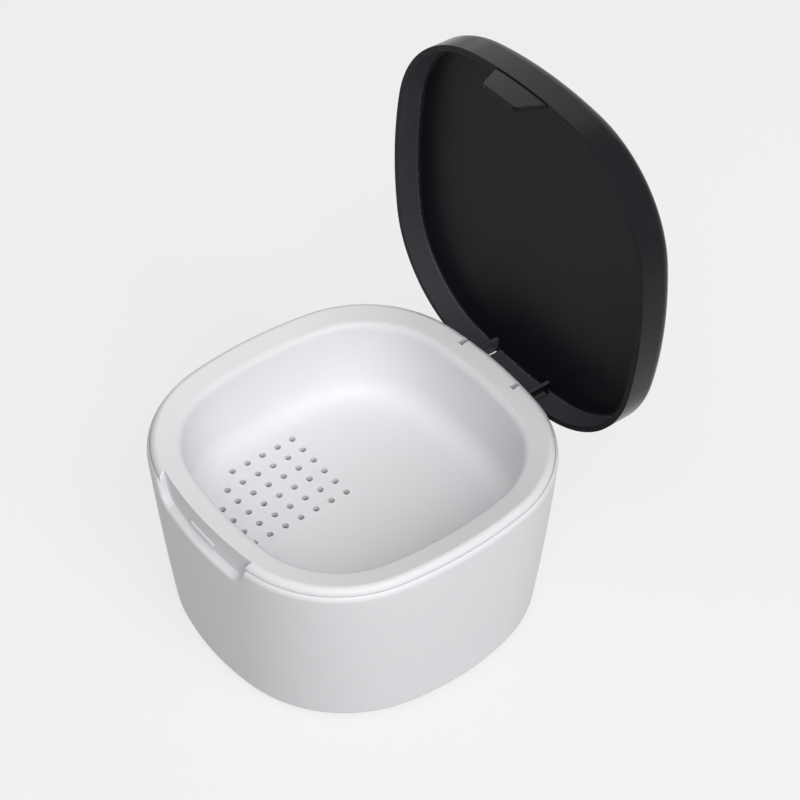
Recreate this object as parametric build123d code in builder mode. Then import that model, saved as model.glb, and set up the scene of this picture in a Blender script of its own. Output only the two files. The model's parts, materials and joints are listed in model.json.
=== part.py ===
from build123d import *
import os
from math import atan2, degrees, sqrt

# Hearing aid dryer: a small box with a drying well, a hinged lid, and a fan and heater under the well.
# Frame: +Z up, +X right, -Y the front with the finger notch, +Y the back with the hinge.
# The origin is on the table under the middle of the casing. All lengths are in millimetres.
# Each piece is built where it lies with the lid shut, and the lid is turned open at the end.

os.makedirs("parts", exist_ok=True)

# ---------- plan outlines: half width, half depth, radius of the bowed sides, radius of the corners ----------
rim_half_x = 45.0
rim_half_y = 45.5
rim_side_radius = 110.0
rim_corner_radius = 32.0
foot_taper = 2.0  # how far the outline draws in on each side from rim to foot
foot_side_radius = 70.0
foot_corner_radius = 35.0
belly = 0.25  # how far the wall bows out halfway up
cutter_reach = 16.0  # how far a cutter runs where only one end of it matters

# ---------- casing ----------
foot_lift = 0.8  # the casing's lower edge above the table
shell_top = 48.1
shell_wall = 2.0
shell_top_round = 1.8
shell_foot_round = 1.2
base_ledge_width = 1.4
base_ledge_height = 1.5

# ---------- tub ----------
crest_z = 49.3  # highest line of the rim
crest_inset = 2.6
flange_inset = 0.9
flange_round = 1.65
flange_seat_z = 46.9
flange_gap = 0.1
well_top_inset = 8.4
well_floor_inset = 9.3
well_floor_z = 25.5
well_floor_round = 6.0
well_lip_round = 2.0
well_lip_margin = 0.25  # picks the lip's edge by its height
funnel_drop = 1.25  # how far the rim's land falls from the crest to the well
funnel_overrun = 0.5  # how far its cutter runs on past the well's wall
tub_wall = 1.6

# ---------- vents in the tub's floor ----------
vent_pitch = 4.6
vent_radius = 0.85
vent_columns = 6
vent_rows = 7
vent_x = -4.5  # the column nearest the middle
vent_y = 1.1  # the row nearest the back

# ---------- finger notch ----------
notch_top_half = 18.0
notch_foot_half = 15.5
notch_foot_z = 42.0
notch_corner_round = 4.0
notch_inset = 2.5
notch_wall = 1.6
notch_edge_round = 1.0
notch_edge_margin = 0.2  # picks the edges on the outer wall from those on the set-back face
catch_length = 9.2
catch_z = 44.1
catch_radius = 0.5

# ---------- hinge ----------
pin_setback = 4.2  # the hinge pin's axis inside the rim's outline
pin_z = 44.0
pin_radius = 0.6
pin_reach = 13.0  # the pin's ends from the middle
pin_chamfer = 0.15
pin_fit = 0.02  # radial clearance in the casing's ribs
eye_fit = 0.05  # radial clearance in the lid's eyes
eye_radius = 1.5
hinge_x = 10.0  # the two arms from the middle
arm_width = 1.1
slot_width = 1.5
arm_front = 0.1  # the arm's front edge before the pin's axis
arm_back = 2.1  # its back edge behind the pin's axis
arm_gap = 0.25
arm_root_setback = 0.6  # the arm's back edge at the lid's plate, inside the rim's outline
arm_spread_rise = 1.3  # where the arm reaches that width, above the lid's edge
arm_spread_drop = 0.3  # where it begins to widen, below the lid's edge
arm_heel_rise = 2.6  # top of the taper over the eye, above the pin
rib_width = 2.0
rib_front = 1.5  # the ribs' front before the pin's axis
rib_foot_z = 41.2

# ---------- lid ----------
lid_open_angle = 91.0
lid_edge_z = 49.3
skirt_height = 6.1
lid_height = 10.3
lid_wall = 1.5
lid_plate = 2.6
lid_crown_radius = 900.0
lid_edge_round = 3.0
lid_inner_round = 0.9
skirt_notch_width = 3.6
tongue_root_half = 8.5
tongue_tip_half = 5.6
tongue_tip_z = 42.8
tongue_inset = 0.35
tongue_thickness = 1.15
tongue_corner_round = 1.5
tongue_bead_radius = 0.35
tongue_bead_z = 43.25

# ---------- base plate, feet and the screws that hold the tub ----------
base_thickness = 2.0
base_gap = 0.15
post_setback_x = 16.3  # the four posts inside the foot's outline
post_setback_y = 16.8
post_radius = 2.8
post_seat_z = 5.0
post_root_z = 34.0
pilot_radius = 1.1
pilot_depth = 11.0
cup_radius = 3.6
screw_head_radius = 2.3
screw_head_height = 1.5
screw_head_gap = 0.3
screw_seat_z = 3.4  # the underside of the cup's floor, where the heads bear
screw_shank_radius = 1.1
screw_clearance = 0.15
screw_length = 9.0
small_screw_radius = 1.0
small_head_radius = 1.9
small_head_height = 1.3
small_hole_radius = 1.3
small_pilot_floor = 0.3  # left free below a screw's tip
screw_edge_round = 0.3
cross_length = 2.0
cross_width = 0.45
cross_depth = 0.7
foot_radius = 4.0
foot_thickness = 1.6
foot_setback_x = 23.5  # the four feet inside the foot's outline
foot_setback_y = 11.0
foot_edge_round = 0.35
foot_gap = 0.1

# ---------- fan ----------
fan_x = -11.5
fan_board_gap = 2.0
fan_side = 30.0
fan_thickness = 7.0
fan_corner = 2.5
fan_bore_radius = 14.0
fan_hole_pitch = 24.0
fan_pad_height = 1.5
fan_pad_radius = 2.4
fan_strut_width = 1.6
fan_strut_height = 1.2
fan_cup_radius = 6.5
bearing_radius = 2.0
bearing_height = 4.6
shaft_radius = 0.75
shaft_fit = 0.03
stator_radius = 5.2
stator_height = 2.8
hub_radius = 7.0
hub_wall = 1.2
hub_top = 1.0
hub_clearance = 0.5  # between the hub and the frame's cup
hub_height = 4.9
blade_count = 7
blade_tip_radius = 13.3
blade_chord = 5.4
blade_thickness = 0.8
blade_pitch = 36.0
fan_screw_length = 11.0
shaft_end_gap = 0.3
stator_poles = 4
stator_slot = 1.4
intake_slot_width = 2.0
intake_slot_pitch = 3.8
intake_slots = 7
intake_radius = 13.0

# ---------- duct, gasket and heater ----------
duct_flange = 1.6
duct_throat_radius = 11.0
duct_neck_radius = 12.0
duct_neck_wall = 1.4
duct_neck_height = 4.0
hood_wall = 1.4
hood_floor = 1.4
lead_port = 1.6
hood_margin = 1.6  # inside of the hood beyond the outermost vent centres
hood_chamfer = 11.2
gasket_height = 1.4
gasket_inset = 0.2
gasket_width = 1.7
bracket_thickness = 0.6
bracket_gap = 0.15
bracket_window_radius = 10.6
bracket_strip = 7.2
fins_length = 14.0
fins_width = 11.0
fins_height = 7.0
fin_count = 6
fin_thickness = 0.7
fin_depth = 3.4
element_length = 12.0
element_width = 2.2
element_height = 5.5
element_gap = 0.05
cutoff_radius = 1.3
cutoff_length = 7.0

# ---------- board and what it carries ----------
board_gap_left = 5.9  # between the board's edges and the posts
board_gap_right = 3.9
board_depth = 28.0
board_panel_gap = 1.9
board_z = 7.4
board_thickness = 1.6
board_chamfer = 3.0
board_hole_inset = 3.6
board_post_radius = 2.6
board_screw_length = 5.0
panel_thickness = 4.2  # the thick stretch of wall round the button and the inlet, on its middle line
panel_x0 = -13.5
panel_x1 = 19.0
panel_z0 = 5.0
panel_z1 = 16.3
usb_x = 12.0
usb_width = 8.9
usb_height = 3.2
usb_length = 7.4
usb_wall = 0.4
usb_gap = 0.2
usb_face_depth = 2.8  # the socket's mouth inside the wall's outer face
usb_recess_width = 12.0
usb_recess_height = 6.4
usb_tongue_thickness = 0.7
button_x = 0.0
button_radius = 3.6
button_gap = 0.12
button_proud = 0.7
button_flange_radius = 4.7
button_flange = 1.0
button_seat_gap = 0.1
button_travel = 0.5
button_edge_round = 0.4
stem_radius = 1.2
button_dish_radius = 18.0
button_dish = 0.25
switch_width = 4.7
switch_depth = 3.4
switch_height = 3.3
switch_setback = 1.0  # the switch's face inside the board's back edge
plunger_radius = 0.9
plunger_proud = 0.9
plunger_depth = 0.8
plunger_fit = 0.05
lamp_x = -10.0
pipe_radius = 1.1
pipe_gap = 0.1
pipe_flange_radius = 1.8
pipe_flange = 0.8
led_width = 3.2
led_depth = 2.0
led_height = 2.9
led_setback = 2.0  # its face inside the board's back edge
pipe_end_setback = 1.0  # the light pipe's outer end inside the wall's outer face on the middle line
chip_side = 7.0
chip_height = 1.5
chip_x = 8.5
chip_dot_radius = 0.4
cell_radius = 2.5  # the tall round part beside the chip
cell_height = 6.0
cell_x = 15.0
small_part = (2.0, 1.25, 0.9)
small_part_x = (1.8, 4.8, 7.8, 10.8)
small_part_edge = 4.5  # the row's middle from the board's front edge
plug_width = 6.0
plug_depth = 4.6
plug_height = 5.2
plug_edge = 10.0  # the connectors' middle from the board's front edge
chip_edge = 13.0  # the chip's middle from the board's front edge
fan_plug_x = -2.6
plug_groove = 0.8
lead_radius = 0.5
lead_spacing = 1.6
lead_bend = 2.0
lead_tight_bend = 0.9
lead_z = 11.2
lead_low_z = 6.0
heater_lead_z = 15.0

foot_half_x = rim_half_x - foot_taper
foot_half_y = rim_half_y - foot_taper
RIM = (rim_half_x, rim_half_y, rim_side_radius, rim_corner_radius)
FOOT = (foot_half_x, foot_half_y, foot_side_radius, foot_corner_radius)


def plan_at(z):
    """The outline's four sizes at height z, from the foot's to the rim's, with the wall's slight belly."""
    share = (z - foot_lift) / (shell_top - foot_lift)
    bow = 4 * belly * share * (1 - share)
    sizes = [low + (high - low) * share for low, high in zip(FOOT, RIM)]
    return (sizes[0] + bow, sizes[1] + bow, sizes[2], sizes[3])


def section(plan, z, inset=0.0):
    """A rounded square of eight tangent arcs at height z, drawn inside its plan by inset."""
    half_x, half_y, side, corner = [size - inset for size in plan]
    # The corner arc's centre is side - corner away from both side arcs' centres.
    lead = Vector(side - half_x, half_y - side)
    middle = Vector(half_x - side, half_y - side) / 2
    square = Vector(side - half_y, side - half_x).normalized()
    centre = middle + square * sqrt((side - corner) ** 2 - (lead.length / 2) ** 2)
    low = degrees(atan2(centre.Y, centre.X - (half_x - side)))
    high = degrees(atan2(centre.Y - (half_y - side), centre.X))
    turn = high - low
    with BuildSketch(Plane.XY.offset(z)) as drawn:
        with BuildLine():
            CenterArc((half_x - side, 0), side, -low, 2 * low)
            CenterArc((centre.X, centre.Y), corner, low, turn)
            CenterArc((0, half_y - side), side, high, 180 - 2 * high)
            CenterArc((-centre.X, centre.Y), corner, 180 - high, turn)
            CenterArc((side - half_x, 0), side, 180 - low, 2 * low)
            CenterArc((-centre.X, -centre.Y), corner, 180 + low, turn)
            CenterArc((0, side - half_y), side, 180 + high, 180 - 2 * high)
            CenterArc((centre.X, -centre.Y), corner, 360 - high, turn)
        make_face()
    return drawn.sketch


# ---------- heights and places that follow from the sizes above ----------
base_top = foot_lift + base_thickness
lip_z = crest_z - funnel_drop
land_slope = funnel_drop / (well_top_inset - crest_inset)
pin_y = rim_half_y - pin_setback
post_x = foot_half_x - post_setback_x
post_y = foot_half_y - post_setback_y
foot_x = foot_half_x - foot_setback_x
foot_y = foot_half_y - foot_setback_y
belt_z = (foot_lift + shell_top) / 2
fan_z = base_top + fan_pad_height
duct_z = fan_z + fan_thickness
neck_z = duct_z + duct_flange
tub_floor_z = well_floor_z - tub_wall
hood_top_z = tub_floor_z - gasket_height
hood_z = neck_z + duct_neck_height
board_top = board_z + board_thickness
port_z = board_top + usb_height / 2
wall_back_y = plan_at(port_z)[1]  # the casing's outer face on the middle line, behind the button
panel_y = wall_back_y - panel_thickness
usb_face_y = wall_back_y - usb_face_depth
board_x0 = post_radius + board_gap_left - post_x
board_x1 = post_x - post_radius - board_gap_right
board_y1 = panel_y - board_panel_gap
board_y0 = board_y1 - board_depth
switch_face_y = board_y1 - switch_setback
led_face_y = board_y1 - led_setback
plug_y = board_y0 + plug_edge
chip_y = board_y0 + chip_edge
fan_y = board_y0 - fan_board_gap - fan_side / 2
lead_drop_y = board_y0 - fan_board_gap / 2
slot_front_y = pin_y - arm_front - arm_gap
slot_foot_z = pin_z - arm_back - arm_gap
lid_top_z = lid_edge_z + lid_height
arm_root_z = lid_top_z - lid_plate
cup_z = fan_z + fan_strut_height
hub_z = cup_z + hub_clearance
fin_pitch = (fins_length - fin_thickness) / (fin_count - 1)
fins_z = neck_z + bracket_thickness
fins_top_z = fins_z + fins_height
heater_plug_x = fan_x + fin_pitch / 2
plug_front_y = plug_y - plug_depth / 2
corner_spots = [(x, y) for x in (-post_x, post_x) for y in (-post_y, post_y)]
foot_spots = [(x, y) for x in (-foot_x, foot_x) for y in (-foot_y, foot_y)]
fan_spots = [
    (fan_x + x * fan_hole_pitch / 2, fan_y + y * fan_hole_pitch / 2) for x in (-1, 1) for y in (-1, 1)
]
board_spots = [
    (board_x0 + board_hole_inset, board_y0 + board_hole_inset),
    (board_x1 - board_hole_inset, board_y0 + board_hole_inset),
    (board_x0 + board_hole_inset, board_y1 - board_hole_inset - board_chamfer),
    (board_x1 - board_hole_inset, board_y1 - board_hole_inset - board_chamfer),
]

# A vent is left out where it would run up the well's rounded corner.
flat_inset = well_floor_inset + well_floor_round
corner_flat = rim_corner_radius - flat_inset
corner_turn = rim_half_x - rim_corner_radius  # about where the floor's corner rounding is centred
vent_spots = []
for column in range(vent_columns):
    for row in range(vent_rows):
        x = vent_x - column * vent_pitch
        y = vent_y - row * vent_pitch
        past_x = max(0.0, -x - corner_turn)
        past_y = max(0.0, -y - corner_turn)
        if sqrt(past_x**2 + past_y**2) <= corner_flat:
            vent_spots.append((x, y))

# ---------- spaces cut from more than one piece ----------
# The well: a drafted rounded square with a rounded floor edge.
with BuildPart() as well_space:
    loft(sections=[section(RIM, well_floor_z, well_floor_inset), section(RIM, crest_z + 1, well_top_inset)])
    fillet(well_space.edges().group_by(Axis.Z)[0], radius=well_floor_round)

# The land of the rim falls from the crest to the well.
with BuildPart() as funnel_space:
    loft(
        sections=[
            section(RIM, lip_z - funnel_overrun * land_slope, well_top_inset + funnel_overrun),
            section(RIM, crest_z, crest_inset),
        ],
        ruled=True,
    )
    extrude(section(RIM, crest_z, crest_inset), amount=1)

# The finger notch: its front view, less all that lies behind its set-back face.
with BuildPart() as notch_space:
    with BuildSketch(Plane.XZ.offset(rim_half_y + 5)):
        with BuildLine():
            Polyline(
                (-notch_top_half, crest_z + 5),
                (-notch_top_half, crest_z),
                (-notch_foot_half, notch_foot_z),
                (notch_foot_half, notch_foot_z),
                (notch_top_half, crest_z),
                (notch_top_half, crest_z + 5),
                close=True,
            )
        make_face()
    extrude(amount=-rim_half_y)
    foot_corners = notch_space.edges().filter_by(Axis.Y).group_by(Axis.Z)[0]
    fillet(foot_corners, radius=notch_corner_round)
    extrude(section(RIM, notch_foot_z - 1, notch_inset), amount=crest_z, mode=Mode.SUBTRACT)

# The two hinge slots: open to the back and the top, with room below for each eye.
with BuildPart() as slot_space:
    with Locations((-hinge_x, slot_front_y, slot_foot_z), (hinge_x, slot_front_y, slot_foot_z)):
        Box(slot_width, cutter_reach, cutter_reach, align=(Align.CENTER, Align.MIN, Align.MIN))
    with Locations((-hinge_x, pin_y, pin_z), (hinge_x, pin_y, pin_z)):
        Cylinder(eye_radius + arm_gap, slot_width, rotation=(0, 90, 0))

# ---------- casing ----------
# Stretches that thicken the casing from inside. All of them reach into the wall but not through it.
with BuildPart() as inner_wall_stretches:
    # the set-back wall behind the finger notch
    with Locations((0, -rim_half_y, notch_foot_z - notch_wall)):
        Box(
            2 * (notch_top_half + notch_wall),
            cutter_reach,
            flange_seat_z - notch_foot_z + notch_wall,
            align=(Align.CENTER, Align.CENTER, Align.MIN),
        )
    extrude(section(RIM, well_floor_z, notch_inset + notch_wall), amount=crest_z, mode=Mode.SUBTRACT)
    # the four ribs that hold the hinge pin
    for side in (-1, 1):
        for edge in (-1, 1):
            rib_x = side * hinge_x + edge * (slot_width + rib_width) / 2
            with Locations((rib_x, pin_y - rib_front, rib_foot_z)):
                Box(
                    rib_width,
                    pin_setback + rib_front,
                    flange_seat_z - rib_foot_z,
                    align=(Align.CENTER, Align.MIN, Align.MIN),
                )
    # the flat panel behind the button, the lamp and the inlet
    with Locations((panel_x0, panel_y, panel_z0)):
        Box(
            panel_x1 - panel_x0,
            rim_half_y - panel_y,
            panel_z1 - panel_z0,
            align=(Align.MIN, Align.MIN, Align.MIN),
        )
    loft(
        sections=[section(plan_at(z), z, shell_wall / 2) for z in (foot_lift, belt_z, shell_top)],
        mode=Mode.INTERSECT,
    )

with BuildPart() as outer_shell:
    loft(sections=[section(plan_at(z), z) for z in (foot_lift, belt_z, shell_top)])
    fillet(outer_shell.edges().group_by(Axis.Z)[-1], radius=shell_top_round)
    fillet(outer_shell.edges().group_by(Axis.Z)[0], radius=shell_foot_round)
    loft(
        sections=[section(plan_at(z), z, shell_wall) for z in (foot_lift, belt_z, shell_top)],
        mode=Mode.SUBTRACT,
    )
    # A ledge runs round the inside above the base plate.
    with BuildSketch(Plane.XY.offset(base_top)):
        add(section(plan_at(base_top), 0, shell_wall / 2))
        add(section(plan_at(base_top), 0, shell_wall + base_ledge_width), mode=Mode.SUBTRACT)
    extrude(amount=base_ledge_height)
    add(inner_wall_stretches.part)
    # The tub's flange lies in a rebate inside the top edge.
    extrude(
        section(RIM, flange_seat_z, flange_inset - flange_gap),
        amount=shell_top,
        mode=Mode.SUBTRACT,
    )
    add(notch_space.part, mode=Mode.SUBTRACT)
    notch_lip = outer_shell.edges().filter_by(GeomType.BSPLINE)
    notch_lip = notch_lip.filter_by_position(Axis.X, -notch_top_half, notch_top_half)
    notch_lip = notch_lip.filter_by_position(Axis.Y, -rim_half_y, notch_inset - rim_half_y - notch_edge_margin)
    notch_lip = notch_lip.filter_by_position(Axis.Z, notch_foot_z - notch_edge_margin, shell_top)
    fillet(notch_lip, radius=notch_edge_round)
    add(slot_space.part, mode=Mode.SUBTRACT)
    # The catch is a low rib on the set-back face.
    with Locations((0, notch_inset - rim_half_y, catch_z)):
        Cylinder(catch_radius, catch_length, rotation=(0, 90, 0))
    with Locations((0, pin_y, pin_z)):
        Cylinder(pin_radius + pin_fit, 2 * pin_reach, rotation=(0, 90, 0), mode=Mode.SUBTRACT)
    # holes at the back for the button, the lamp and the inlet, with a flat recess round the inlet
    with Locations((button_x, rim_half_y, port_z)):
        Cylinder(button_radius + button_gap, cutter_reach, rotation=(90, 0, 0), mode=Mode.SUBTRACT)
    with Locations((lamp_x, rim_half_y, port_z)):
        Cylinder(pipe_radius + pipe_gap, cutter_reach, rotation=(90, 0, 0), mode=Mode.SUBTRACT)
    with BuildSketch(Plane.XZ.offset(-panel_y)):
        with Locations((usb_x, port_z)):
            SlotOverall(usb_width + 2 * usb_gap, usb_height + 2 * usb_gap)
    extrude(amount=-cutter_reach, mode=Mode.SUBTRACT)
    with BuildSketch(Plane.XZ.offset(-usb_face_y)):
        with Locations((usb_x, port_z)):
            SlotOverall(usb_recess_width, usb_recess_height)
    extrude(amount=-cutter_reach, mode=Mode.SUBTRACT)

# ---------- tub ----------
with BuildPart() as inner_tub:
    loft(
        sections=[
            section(RIM, tub_floor_z, well_floor_inset - tub_wall),
            section(RIM, lip_z, well_top_inset - tub_wall),
        ]
    )
    fillet(inner_tub.edges().group_by(Axis.Z)[0], radius=well_floor_round + tub_wall)
    with Locations([(x, y, post_seat_z) for x, y in corner_spots]):
        Cylinder(
            post_radius,
            post_root_z - post_seat_z,
            align=(Align.CENTER, Align.CENTER, Align.MIN),
        )
    with BuildSketch(Plane.XY.offset(flange_seat_z)):
        add(section(RIM, 0, flange_inset))
    extrude(amount=crest_z - flange_seat_z)
    fillet(inner_tub.edges().group_by(Axis.Z)[-1], radius=flange_round)
    add(well_space.part, mode=Mode.SUBTRACT)
    add(funnel_space.part, mode=Mode.SUBTRACT)
    lip_low = lip_z - well_lip_margin
    well_lip = inner_tub.edges().filter_by_position(Axis.Z, lip_low, lip_z + well_lip_margin)
    fillet(well_lip, radius=well_lip_round)
    add(notch_space.part, mode=Mode.SUBTRACT)
    add(slot_space.part, mode=Mode.SUBTRACT)
    with Locations([(x, y, well_floor_z) for x, y in vent_spots]):
        Cylinder(vent_radius, 4 * tub_wall, mode=Mode.SUBTRACT)
    with Locations([(x, y, post_seat_z) for x, y in corner_spots]):
        Cylinder(
            pilot_radius,
            pilot_depth,
            align=(Align.CENTER, Align.CENTER, Align.MIN),
            mode=Mode.SUBTRACT,
        )

# ---------- lid, built shut ----------
with BuildPart() as lid_hollow:
    extrude(section(RIM, lid_edge_z - 1, lid_wall), amount=lid_height)
    with Locations((0, 0, lid_top_z - lid_crown_radius)):
        Sphere(lid_crown_radius - lid_plate, mode=Mode.INTERSECT)
    fillet(lid_hollow.faces().sort_by(Axis.Z)[-1].edges(), radius=lid_inner_round)

# The tongue hangs from the front of the skirt and follows its curve.
with BuildPart() as tongue:
    with BuildSketch(Plane.XZ.offset(rim_half_y + 2)):
        with BuildLine():
            Polyline(
                (-tongue_root_half, lid_edge_z + lid_wall),
                (-tongue_root_half, lid_edge_z),
                (-tongue_tip_half, tongue_tip_z),
                (tongue_tip_half, tongue_tip_z),
                (tongue_root_half, lid_edge_z),
                (tongue_root_half, lid_edge_z + lid_wall),
                close=True,
            )
        make_face()
    extrude(amount=-rim_half_y)
    fillet(tongue.edges().filter_by(Axis.Y).group_by(Axis.Z)[0], radius=tongue_corner_round)
    extrude(section(RIM, tongue_tip_z, tongue_inset), amount=lid_height, mode=Mode.INTERSECT)
    extrude(
        section(RIM, tongue_tip_z - 1, tongue_inset + tongue_thickness),
        amount=2 * lid_height,
        mode=Mode.SUBTRACT,
    )
    with Locations((0, tongue_inset + tongue_thickness - rim_half_y, tongue_bead_z)):
        Cylinder(tongue_bead_radius, catch_length, rotation=(0, 90, 0))

with BuildPart() as shut_lid:
    extrude(section(RIM, lid_edge_z), amount=lid_height)
    with Locations((0, 0, lid_top_z - lid_crown_radius)):
        Sphere(lid_crown_radius, mode=Mode.INTERSECT)
    fillet(shut_lid.faces().sort_by(Axis.Z)[-1].edges(), radius=lid_edge_round)
    add(lid_hollow.part, mode=Mode.SUBTRACT)
    # The skirt is notched round each hinge arm.
    with Locations((-hinge_x, rim_half_y, lid_edge_z), (hinge_x, rim_half_y, lid_edge_z)):
        Box(
            skirt_notch_width,
            2 * (lid_wall + 0.6),
            2 * skirt_height,
            mode=Mode.SUBTRACT,
        )
    add(tongue.part)
    for side in (-1, 1):
        with BuildSketch(Plane.YZ.offset(side * hinge_x - arm_width / 2)):
            with BuildLine():
                Polyline(
                    (pin_y - arm_front, pin_z),
                    (pin_y - arm_front, arm_root_z),
                    (rim_half_y - arm_root_setback, arm_root_z),
                    (rim_half_y - arm_root_setback, lid_edge_z + arm_spread_rise),
                    (pin_y + arm_back, lid_edge_z - arm_spread_drop),
                    (pin_y + arm_back, pin_z + arm_heel_rise),
                    (pin_y + eye_radius, pin_z),
                    close=True,
                )
            make_face()
            with Locations((pin_y, pin_z)):
                Circle(eye_radius)
                Circle(pin_radius + eye_fit, mode=Mode.SUBTRACT)
        extrude(amount=arm_width)

# The lid is turned open about the hinge pin.
with BuildPart() as lid:
    add(shut_lid.part.rotate(Axis((0, pin_y, pin_z), (1, 0, 0)), -lid_open_angle))

# ---------- hinge pin ----------
with BuildPart() as hinge_pin:
    with Locations((0, pin_y, pin_z)):
        Cylinder(pin_radius, 2 * pin_reach, rotation=(0, 90, 0))
    chamfer(hinge_pin.edges().filter_by(GeomType.CIRCLE), length=pin_chamfer)


# ---------- base plate ----------
with BuildPart() as base_plate:
    extrude(section(FOOT, foot_lift, shell_wall + base_gap), amount=base_thickness)
    with Locations([(x, y, base_top) for x, y in corner_spots]):
        Cylinder(cup_radius, post_seat_z - base_top, align=(Align.CENTER, Align.CENTER, Align.MIN))
    with Locations([(x, y, base_top) for x, y in fan_spots]):
        Cylinder(fan_pad_radius, fan_pad_height, align=(Align.CENTER, Align.CENTER, Align.MIN))
    with Locations([(x, y, base_top) for x, y in board_spots]):
        Cylinder(board_post_radius, board_z - base_top, align=(Align.CENTER, Align.CENTER, Align.MIN))
    # a counterbore and a hole for each tub screw
    with Locations([(x, y, screw_seat_z) for x, y in corner_spots]):
        Cylinder(
            screw_head_radius + screw_head_gap,
            screw_seat_z,
            align=(Align.CENTER, Align.CENTER, Align.MAX),
            mode=Mode.SUBTRACT,
        )
        Cylinder(screw_shank_radius + screw_clearance, 2 * post_seat_z, mode=Mode.SUBTRACT)
    # pilots for the fan's and the board's screws
    with Locations([(x, y, fan_z) for x, y in fan_spots]):
        Cylinder(
            small_screw_radius,
            fan_screw_length - (neck_z - fan_z) + small_pilot_floor,
            align=(Align.CENTER, Align.CENTER, Align.MAX),
            mode=Mode.SUBTRACT,
        )
    with Locations([(x, y, board_z) for x, y in board_spots]):
        Cylinder(
            small_screw_radius,
            board_screw_length - board_thickness + small_pilot_floor,
            align=(Align.CENTER, Align.CENTER, Align.MAX),
            mode=Mode.SUBTRACT,
        )
    with Locations([(x, y, foot_thickness) for x, y in foot_spots]):
        Cylinder(
            foot_radius + foot_gap,
            foot_thickness,
            align=(Align.CENTER, Align.CENTER, Align.MAX),
            mode=Mode.SUBTRACT,
        )
    # the air intake: slots that fill a circle under the fan
    with BuildSketch(Plane.XY.offset(foot_lift)):
        for row in range(intake_slots):
            off = (row - (intake_slots - 1) / 2) * intake_slot_pitch
            with Locations((fan_x, fan_y + off)):
                SlotOverall(2 * sqrt(intake_radius**2 - off**2), intake_slot_width)
    extrude(amount=base_thickness, mode=Mode.SUBTRACT)

with BuildPart() as rubber_feet:
    with Locations([(x, y, 0) for x, y in foot_spots]):
        Cylinder(foot_radius, foot_thickness, align=(Align.CENTER, Align.CENTER, Align.MIN))
    fillet(rubber_feet.edges().group_by(Axis.Z)[0], radius=foot_edge_round)


def screw(shank_radius, length, head_radius, head_height):
    """A pan head screw that points down, with the underside of its head at the origin."""
    with BuildPart() as made:
        Cylinder(head_radius, head_height, align=(Align.CENTER, Align.CENTER, Align.MIN))
        fillet(made.edges().group_by(Axis.Z)[-1], radius=screw_edge_round)
        Cylinder(shank_radius, length, align=(Align.CENTER, Align.CENTER, Align.MAX))
        chamfer(made.edges().group_by(Axis.Z)[0], length=screw_edge_round)
        with Locations((0, 0, head_height)):
            Box(cross_length, cross_width, 2 * cross_depth, mode=Mode.SUBTRACT)
            Box(cross_width, cross_length, 2 * cross_depth, mode=Mode.SUBTRACT)
    return made.part


with BuildPart() as base_screws:
    with Locations([(x, y, screw_seat_z) for x, y in corner_spots]):
        add(
            screw(screw_shank_radius, screw_length, screw_head_radius, screw_head_height),
            rotation=(180, 0, 0),
        )

with BuildPart() as fan_screws:
    with Locations([(x, y, neck_z) for x, y in fan_spots]):
        add(screw(small_screw_radius, fan_screw_length, small_head_radius, small_head_height))

with BuildPart() as board_screws:
    with Locations([(x, y, board_top) for x, y in board_spots]):
        add(screw(small_screw_radius, board_screw_length, small_head_radius, small_head_height))

# ---------- fan ----------
with BuildPart() as fan_frame:
    with BuildSketch(Plane.XY.offset(fan_z)):
        with Locations((fan_x, fan_y)):
            RectangleRounded(fan_side, fan_side, fan_corner)
            Circle(fan_bore_radius, mode=Mode.SUBTRACT)
        with Locations(fan_spots):
            Circle(small_hole_radius, mode=Mode.SUBTRACT)
    extrude(amount=fan_thickness)
    with BuildSketch(Plane.XY.offset(fan_z)):
        with Locations((fan_x, fan_y)):
            Circle(fan_cup_radius)
            with PolarLocations(0, 3, start_angle=30):
                Rectangle(
                    fan_bore_radius + fan_strut_width / 2,
                    fan_strut_width,
                    align=(Align.MIN, Align.CENTER),
                )
    extrude(amount=fan_strut_height)
    with Locations((fan_x, fan_y, fan_z)):
        Cylinder(bearing_radius, bearing_height, align=(Align.CENTER, Align.CENTER, Align.MIN))
    with Locations((fan_x, fan_y, fan_z + fan_strut_height / 2)):
        Cylinder(
            shaft_radius + shaft_fit,
            bearing_height,
            align=(Align.CENTER, Align.CENTER, Align.MIN),
            mode=Mode.SUBTRACT,
        )

with BuildPart() as fan_stator:
    with BuildSketch(Plane.XY.offset(cup_z)):
        with Locations((fan_x, fan_y)):
            Circle(stator_radius)
            Circle(bearing_radius, mode=Mode.SUBTRACT)
            with PolarLocations(stator_radius, stator_poles, start_angle=45):
                SlotOverall(stator_radius, stator_slot, mode=Mode.SUBTRACT)
    extrude(amount=stator_height)

with BuildPart() as fan_rotor:
    with Locations((fan_x, fan_y, hub_z + hub_height / 2)):
        with PolarLocations((hub_radius + blade_tip_radius) / 2, blade_count):
            Box(
                blade_tip_radius - hub_radius + hub_wall,
                blade_chord,
                blade_thickness,
                rotation=(blade_pitch, 0, 0),
            )
        Cylinder(blade_tip_radius, fan_thickness, mode=Mode.INTERSECT)
        Cylinder(hub_radius, hub_height)
        Cylinder(
            hub_radius - hub_wall,
            hub_height,
            align=(Align.CENTER, Align.CENTER, Align.CENTER),
            mode=Mode.SUBTRACT,
        )
    with Locations((fan_x, fan_y, hub_z + hub_height)):
        Cylinder(hub_radius, hub_top, align=(Align.CENTER, Align.CENTER, Align.MAX))
    with Locations((fan_x, fan_y, fan_z + fan_strut_height / 2 + shaft_end_gap)):
        Cylinder(
            shaft_radius,
            hub_z + hub_height - hub_top - fan_z - fan_strut_height / 2 - shaft_end_gap,
            align=(Align.CENTER, Align.CENTER, Align.MIN),
        )


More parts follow.
